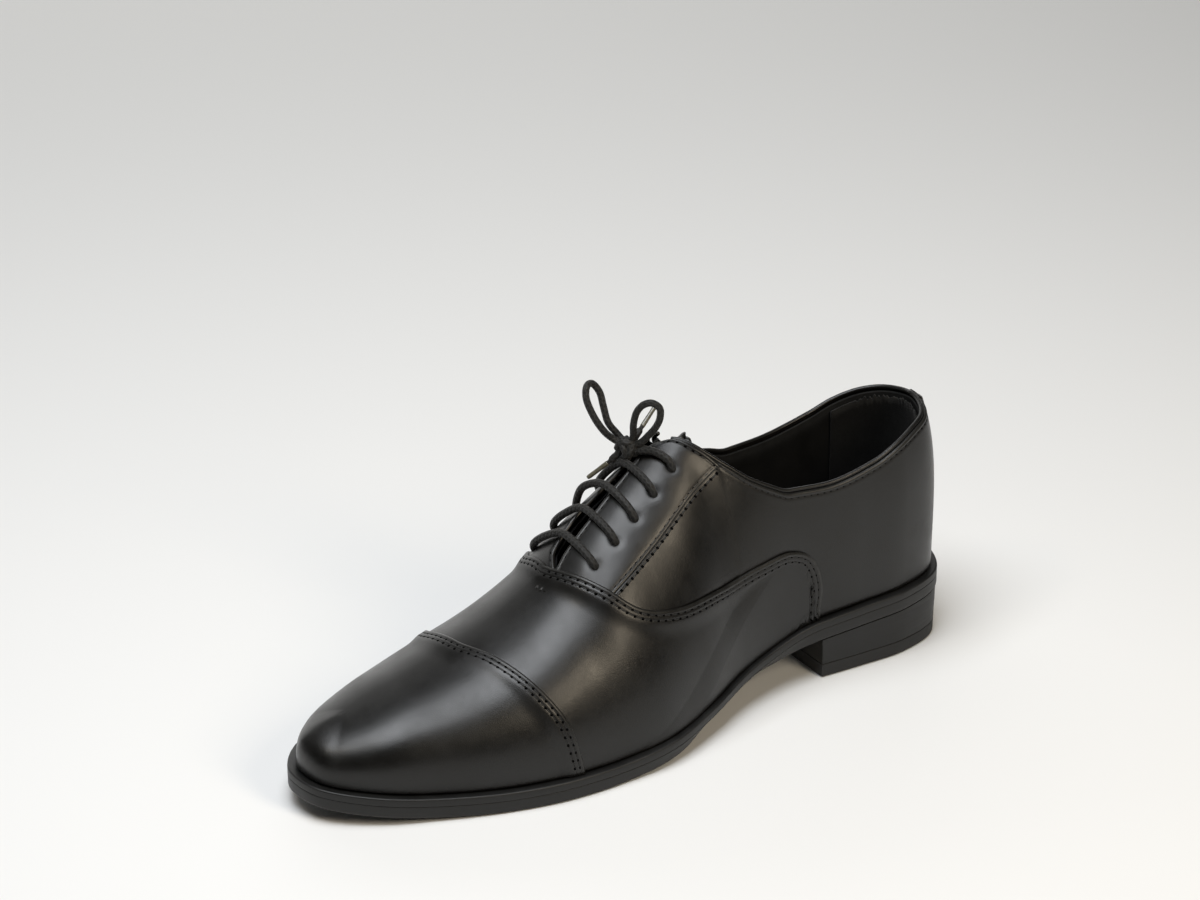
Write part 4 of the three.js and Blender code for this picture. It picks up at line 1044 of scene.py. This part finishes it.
def makeLeatherGrain():
    tree, given, out = newGroup("leatherGrain", [("Vector", "NodeSocketVector", None),
                                                 ("Cells", "NodeSocketFloat", 1300.0),
                                                 ("Creases", "NodeSocketFloat", 0.4)],
                                [("Height", "NodeSocketFloat"), ("Tone", "NodeSocketFloat"),
                                 ("Gloss", "NodeSocketFloat")])
    bent = addNode(tree, "ShaderNodeTexNoise", {"Vector": given["Vector"], "Scale": 420.0, "Detail": 2.0})
    shift = addNode(tree, "ShaderNodeVectorMath", {0: bent.outputs["Color"], 1: (0.0011, 0.0011, 0.0011)},
                    operation="MULTIPLY")
    moved = addNode(tree, "ShaderNodeVectorMath", {0: given["Vector"], 1: shift.outputs[0]},
                    operation="ADD").outputs[0]
    cells = addNode(tree, "ShaderNodeTexVoronoi", {"Vector": moved, "Scale": given["Cells"]},
                    feature="DISTANCE_TO_EDGE")
    valley = spread(tree, cells.outputs["Distance"], 0.0, 0.22)
    pores = noise(tree, given["Vector"], 2600.0, 2.0)
    soft = spread(tree, noise(tree, given["Vector"], 55.0, 4.0, Roughness=0.6), 0.32, 0.68)
    crease = times(tree, noise(tree, given["Vector"], 260.0, 5.0, Roughness=0.65), given["Creases"])
    grainy = plus(tree, times(tree, valley, 0.55), times(tree, pores, 0.35))
    tree.links.new(plus(tree, grainy, crease), out["Height"])
    tree.links.new(times(tree, soft, plus(tree, times(tree, valley, 0.35), 0.65)), out["Tone"])
    tree.links.new(plus(tree, times(tree, soft, 0.6), times(tree, pores, 0.4)), out["Gloss"])
    return tree


# lighter colour along the folded and cut edges, where the rim attribute is high, broken up by noise: partly
# real edge wear, partly a painted highlight for the sheen on the rolled edges
def makeEdgeWearAndSheen():
    tree, given, out = newGroup("edgeWearAndSheen", [("Vector", "NodeSocketVector", None),
                                             ("Amount", "NodeSocketFloat", 0.5)],
                                [("Mask", "NodeSocketFloat")])
    rim = addNode(tree, "ShaderNodeAttribute", attribute_name="rim").outputs["Fac"]
    patch = noise(tree, given["Vector"], 320.0, 4.0)
    broken = spread(tree, patch, 0.35, 0.65, 0.45, 1.0)
    tree.links.new(times(tree, times(tree, rim, broken), given["Amount"], clamp=True), out["Mask"])
    return tree


def makeFineStreaks():  # burnishing marks and dust: streaks along the ground, specks and soft blotches
    tree, given, out = newGroup("burnish", [("Vector", "NodeSocketVector", None),
                                            ("Stretch", "NodeSocketVector", None),
                                            ("Speck", "NodeSocketFloat", 900.0)],
                                [("Height", "NodeSocketFloat"), ("Tone", "NodeSocketFloat")])
    long = addNode(tree, "ShaderNodeVectorMath", {0: given["Vector"], 1: given["Stretch"]},
                   operation="MULTIPLY").outputs[0]
    streak = noise(tree, long, 1.0, 3.0)
    speck = noise(tree, given["Vector"], given["Speck"], 3.0)
    blotch = noise(tree, given["Vector"], 60.0, 3.0)
    tree.links.new(plus(tree, times(tree, streak, 0.6), times(tree, speck, 0.4)), out["Height"])
    tree.links.new(spread(tree, plus(tree, times(tree, streak, 0.5),
                                         times(tree, blotch, 0.5)), 0.35, 0.65), out["Tone"])
    return tree


def makeBraid():  # crossing strands of a round lace, on its own length and turn
    tree, given, out = newGroup("laceBraid", [("UV", "NodeSocketVector", None),
                                              ("Repeat", "NodeSocketFloat", 2.3),
                                              ("Strands", "NodeSocketFloat", 4.0)],
                                [("Height", "NodeSocketFloat"), ("ValleyShade", "NodeSocketFloat")])
    parts = addNode(tree, "ShaderNodeSeparateXYZ", {"Vector": given["UV"]})
    run = mathNode(tree, "DIVIDE", parts.outputs["X"], given["Repeat"])
    turn = times(tree, parts.outputs["Y"], given["Strands"])
    waves = []
    for operation in ("ADD", "SUBTRACT"):
        phase = times(tree, mathNode(tree, operation, run, turn), 2 * math.pi)
        waves.append(mathNode(tree, "SINE", phase))
    over = mathNode(tree, "MAXIMUM", waves[0], waves[1])
    rib = mathNode(tree, "ABSOLUTE", mathNode(tree, "SINE", times(tree, parts.outputs["Y"], 8 * math.pi)))
    height = plus(tree, times(tree, spread(tree, over, -0.6, 1.0), 0.7), times(tree, rib, 0.3))
    tree.links.new(height, out["Height"])
    # the low places between the strands give a darker colour in the lace: painted shade in the braid's valleys
    tree.links.new(spread(tree, height, 0.2, 0.75), out["ValleyShade"])
    return tree


leatherGrain, edgeWearAndSheen, burnish, laceBraid = makeLeatherGrain(), makeEdgeWearAndSheen(), makeFineStreaks(), makeBraid()


def newMaterial(name, **plain):  # a Principled material with its plain values set on the sockets
    material = bpy.data.materials.new(name)
    material.use_nodes = True
    tree = material.node_tree
    shader = tree.nodes["Principled BSDF"]
    for key, value in plain.items():
        shader.inputs[key].default_value = value
    place = addNode(tree, "ShaderNodeTexCoord").outputs["Object"]
    return material, tree, shader, place


def colourBetween(tree, factor, dark, light):
    made = addNode(tree, "ShaderNodeMix", {0: factor}, data_type="RGBA")
    for socket, value in ((made.inputs[6], dark), (made.inputs[7], light)):
        if isinstance(value, bpy.types.NodeSocket):
            tree.links.new(value, socket)
        else:
            socket.default_value = (*value, 1)
    return made.outputs[2]


def paint(tree, shader, colour):
    tree.links.new(colour, shader.inputs["Base Color"])


def bump(tree, shader, height, strength, distance):
    made = addNode(tree, "ShaderNodeBump", {"Height": height, "Strength": strength, "Distance": distance})
    tree.links.new(made.outputs["Normal"], shader.inputs["Normal"])


def placeGroup(tree, group, inputs):
    made = tree.nodes.new("ShaderNodeGroup")
    made.node_tree = group
    for key, value in inputs.items():
        if isinstance(value, bpy.types.NodeSocket):
            tree.links.new(value, made.inputs[key])
        else:
            made.inputs[key].default_value = value
    return made.outputs


def leather(name, dark, light, rimWearAndSheenColour, gloss, cells, creases, depth, rimWearAndSheen, **plain):
    material, tree, shader, place = newMaterial(name, **plain)
    grain = placeGroup(tree, leatherGrain, {"Vector": place, "Cells": cells, "Creases": creases})
    # the edges take a lighter colour: edge wear plus a painted highlight for the rolled edges' sheen
    worn = placeGroup(tree, edgeWearAndSheen, {"Vector": place, "Amount": rimWearAndSheen})["Mask"]
    paint(tree, shader, colourBetween(tree, worn, colourBetween(tree, grain["Tone"], dark, light), rimWearAndSheenColour))
    tree.links.new(spread(tree, grain["Gloss"], 0.2, 0.8, *gloss), shader.inputs["Roughness"])
    bump(tree, shader, grain["Height"], 1.0, depth)
    return material


calf = leather("blackCalf", (0.0022, 0.002, 0.0016), (0.0045, 0.0042, 0.0034), (0.022, 0.021, 0.018),
               (0.3, 0.44), 1500.0, 0.35,
               0.00003, 0.5, **{"Specular IOR Level": 0.42, "Coat Weight": 0.1, "Coat Roughness": 0.2})
liningLeather = leather("blackLining", (0.0022, 0.0022, 0.0022), (0.0045, 0.0045, 0.0045),
                        (0.015, 0.015, 0.014), (0.6, 0.8), 1100.0, 0.6,
                        0.00004, 0.5, **{"Specular IOR Level": 0.2})
sockLeather = leather("sockLeather", (0.008, 0.0075, 0.007), (0.014, 0.013, 0.012), (0.03, 0.028, 0.025),
                      (0.45, 0.62), 1200.0, 0.5,
                      0.00004, 0.3, **{"Specular IOR Level": 0.4})


def makeSuede():
    material, tree, shader, place = newMaterial("heelSuede",
                                                **{"Sheen Weight": 0.06, "Sheen Roughness": 0.5,
                                                   "Roughness": 0.92, "Specular IOR Level": 0.15})
    grain = placeGroup(tree, leatherGrain, {"Vector": place, "Cells": 2600.0, "Creases": 0.9})
    # lighter colour at the suede's edges: wear plus a painted sheen highlight
    worn = placeGroup(tree, edgeWearAndSheen, {"Vector": place, "Amount": 0.9})["Mask"]
    plush = colourBetween(tree, grain["Tone"], (0.002, 0.002, 0.002), (0.0055, 0.0055, 0.005))
    paint(tree, shader, colourBetween(tree, worn, plush, (0.02, 0.019, 0.017)))
    bump(tree, shader, grain["Height"], 1.0, 0.00012)
    return material


def makeBurnished(name, dark, light, rough, stretch, speck, depth, **plain):
    material, tree, shader, place = newMaterial(name, **plain)
    mark = placeGroup(tree, burnish, {"Vector": place, "Stretch": stretch, "Speck": speck})
    paint(tree, shader, colourBetween(tree, mark["Tone"], dark, light))
    tree.links.new(spread(tree, mark["Tone"], 0.0, 1.0, *rough), shader.inputs["Roughness"])
    bump(tree, shader, mark["Height"], 1.0, depth)
    return material


edgeInk = makeBurnished("soleEdgeInk", (0.0045, 0.0045, 0.0042), (0.009, 0.009, 0.0085), (0.4, 0.54),
                        (60.0, 60.0, 1400.0), 1500.0, 0.00002,
                        **{"Specular IOR Level": 0.38, "Coat Weight": 0.05, "Coat Roughness": 0.35})
heelInk = makeBurnished("heelStackInk", (0.004, 0.004, 0.0038), (0.008, 0.008, 0.0075), (0.4, 0.54),
                        (50.0, 50.0, 1200.0), 1500.0, 0.00002,
                        **{"Specular IOR Level": 0.38})
rubber = makeBurnished("heelRubber", (0.009, 0.009, 0.009), (0.016, 0.016, 0.016), (0.55, 0.7),
                       (300.0, 300.0, 300.0), 2200.0, 0.00004,
                       **{"Specular IOR Level": 0.4})
insoleBoard = makeBurnished("insoleLeather", (0.22, 0.12, 0.06), (0.36, 0.22, 0.12), (0.6, 0.8),
                            (220.0, 220.0, 600.0), 1600.0, 0.00005)
stiffener = makeBurnished("fibreBoard", (0.3, 0.24, 0.15), (0.46, 0.38, 0.26), (0.75, 0.9),
                          (700.0, 700.0, 700.0), 2500.0, 0.00006)
steel = makeBurnished("brushedSteel", (0.32, 0.33, 0.34), (0.5, 0.51, 0.52), (0.25, 0.4),
                      (4000.0, 120.0, 4000.0), 3000.0, 0.00001,
                      **{"Metallic": 1.0})
eyeletMetal = makeBurnished("blackEyelet", (0.02, 0.02, 0.02), (0.05, 0.048, 0.045), (0.3, 0.45),
                            (900.0, 900.0, 900.0), 3000.0, 0.00001,
                            **{"Metallic": 1.0})
# near-black colour for the needle-hole discs: painted shade
holeShadeBlack = makeBurnished("needleHoleShade", (0.0008, 0.0008, 0.0008), (0.002, 0.002, 0.002), (0.9, 1.0),
                         (900.0, 900.0, 900.0), 3000.0, 0.00001,
                         **{"Specular IOR Level": 0.05})


def makeCork():
    material, tree, shader, place = newMaterial("corkFiller", **{"Roughness": 0.9})
    cells = addNode(tree, "ShaderNodeTexVoronoi", {"Vector": place, "Scale": 420.0})
    mark = placeGroup(tree, burnish, {"Vector": place, "Stretch": (500.0, 500.0, 500.0), "Speck": 1800.0})
    lumps = colourBetween(tree, cells.outputs["Color"], (0.3, 0.17, 0.07), (0.52, 0.34, 0.17))
    paint(tree, shader, colourBetween(tree, mark["Tone"], lumps, (0.36, 0.22, 0.1)))
    bump(tree, shader, cells.outputs["Distance"], 1.0, 0.0004)
    return material


def makeLaceCord():
    material, tree, shader, place = newMaterial("laceCotton",
                                                **{"Sheen Weight": 0.1, "Sheen Roughness": 0.4,
                                                   "Specular IOR Level": 0.35})
    uv = addNode(tree, "ShaderNodeUVMap").outputs["UV"]
    braid = placeGroup(tree, laceBraid, {"UV": uv, "Repeat": 2.3, "Strands": 4.0})
    grain = placeGroup(tree, burnish, {"Vector": place, "Stretch": (1500.0, 1500.0, 1500.0), "Speck": 4000.0})
    # the lace's colour is darker in the braid's valleys: painted shade
    strands = colourBetween(tree, braid["ValleyShade"], (0.002, 0.002, 0.0018), (0.013, 0.0125, 0.011))
    paint(tree, shader, colourBetween(tree, times(tree, grain["Tone"], 0.3), strands, (0.02, 0.019, 0.017)))
    tree.links.new(spread(tree, grain["Tone"], 0.0, 1.0, 0.5, 0.68), shader.inputs["Roughness"])
    bump(tree, shader, plus(tree, braid["Height"], times(tree, grain["Height"], 0.2)), 1.0, 0.00022)
    return material


def makeThread():
    material, tree, shader, place = newMaterial("threadBlack", **{"Specular IOR Level": 0.4})
    mark = placeGroup(tree, burnish, {"Vector": place, "Stretch": (2600.0, 2600.0, 2600.0), "Speck": 5000.0})
    paint(tree, shader, colourBetween(tree, mark["Tone"], (0.003, 0.003, 0.0026), (0.008, 0.0078, 0.007)))
    tree.links.new(spread(tree, mark["Tone"], 0.0, 1.0, 0.45, 0.6), shader.inputs["Roughness"])
    bump(tree, shader, mark["Height"], 1.0, 0.00006)
    return material


def makeAgletFilm():
    material, tree, shader, place = newMaterial("agletFilm",
                                                **{"Transmission Weight": 0.0, "Coat Weight": 0.6,
                                                   "Coat Roughness": 0.12,
                                                                "Specular IOR Level": 0.5})
    mark = placeGroup(tree, burnish, {"Vector": place, "Stretch": (500.0, 500.0, 500.0), "Speck": 1500.0})
    paint(tree, shader, colourBetween(tree, mark["Tone"], (0.06, 0.056, 0.038), (0.12, 0.112, 0.08)))
    tree.links.new(spread(tree, mark["Tone"], 0.0, 1.0, 0.22, 0.34), shader.inputs["Roughness"])
    bump(tree, shader, mark["Height"], 1.0, 0.00005)
    return material


suede, cork, laceCotton = makeSuede(), makeCork(), makeLaceCord()
threadBlack, agletFilm = makeThread(), makeAgletFilm()


def give(material, *pieces):
    for piece in pieces:
        piece.data.materials.clear()
        piece.data.materials.append(material)


give(calf, toeCap, vamp, *facings, *quarters, tab, binding, tonguePiece)
give(liningLeather, quarterLining, vampLining)
give(suede, heelGrip)
give(sockLeather, sock)
give(edgeInk, outsole, welt)
give(heelInk, heelBlock)
give(rubber, topPiece)
give(laceCotton, laceTube, laceKnot, *laceCords)
give(agletFilm, *agletTubes)
for index, material in enumerate((threadBlack, holeShadeBlack)):
    stitching.data.materials[index] = material
nodes = frame["nodes"]
give(cork, nodes["cork_filler"])
give(insoleBoard, nodes["insole"])
give(stiffener, nodes["toe_puff"], nodes["heel_counter"])
give(steel, nodes["shank"], *[nodes[f"heel_nail_{i}"] for i in range(1, 6)])
give(eyeletMetal, *[nodes[f"eyelet_{side}_{i}"] for side in ("lateral", "medial") for i in range(1, 6)])
print("materials given")


# floor, light and air
def makeFloor():
    material, tree, shader, place = newMaterial("paleFloor", **{"Roughness": 0.65, "Specular IOR Level": 0.2})
    # the floor's colour falls from 0.8 near the shoe to 0.74 farther out, with a faint dust mark: painted
    # light falloff
    far = addNode(tree, "ShaderNodeVectorMath", {0: place}, operation="LENGTH").outputs["Value"]
    mark = placeGroup(tree, burnish, {"Vector": place, "Stretch": (8.0, 8.0, 8.0), "Speck": 90.0})["Tone"]
    paintedFalloffAndDust = plus(tree, spread(tree, far, 0.2, 1.2), times(tree, mark, 0.02), clamp=True)
    paint(tree, shader, colourBetween(tree, paintedFalloffAndDust, (0.8, 0.8, 0.79), (0.74, 0.74, 0.725)))
    return material


bpy.ops.mesh.primitive_plane_add(size=8, location=(0, 0, -0.0002))
floor = bpy.context.object
floor.name = floor.data.name = "floor"
bpy.ops.object.transform_apply(location=True)
give(makeFloor(), floor)

lamps = {
    "overheadCool": {"toward": (0.08, -0.2, 0.97), "away": 1.2, "size": (0.75, 0.75), "power": 14.5,
                     "colour": (0.93, 0.96, 1.0)},
    "windowWarm": {"toward": (0.785, 0.196, 0.6), "away": 1.3, "size": (0.34, 0.5), "power": 6,
                   "colour": (1.0, 0.86, 0.66)},
    "toeWarm": {"toward": (0.05, -0.56, 0.83), "away": 1.2, "size": (0.14, 0.14), "power": 0.5,
                "colour": (1.0, 0.85, 0.6)},
    "rearWall": {"toward": (-0.92, 0.25, 0.3), "away": 1.6, "size": (2.2, 1.2), "power": 10,
                 "colour": (1.0, 0.995, 0.98)},
}
for name, lamp in lamps.items():
    toward = Vector(lamp["toward"]).normalized()
    bpy.ops.object.light_add(type="AREA", location=toward * lamp["away"])
    light = bpy.context.object
    light.name = name
    light.rotation_euler = toward.to_track_quat("Z", "Y").to_euler()
    light.data.shape = "RECTANGLE"
    light.data.size, light.data.size_y = lamp["size"]
    light.data.energy = lamp["power"]
    light.data.color = lamp["colour"]

world = bpy.data.worlds.new("studioAir")
scene.world = world
world.use_nodes = True
world.node_tree.nodes["Background"].inputs["Color"].default_value = (1.0, 0.98, 0.95, 1)
world.node_tree.nodes["Background"].inputs["Strength"].default_value = 0.07
print("floor, lamps and air set")
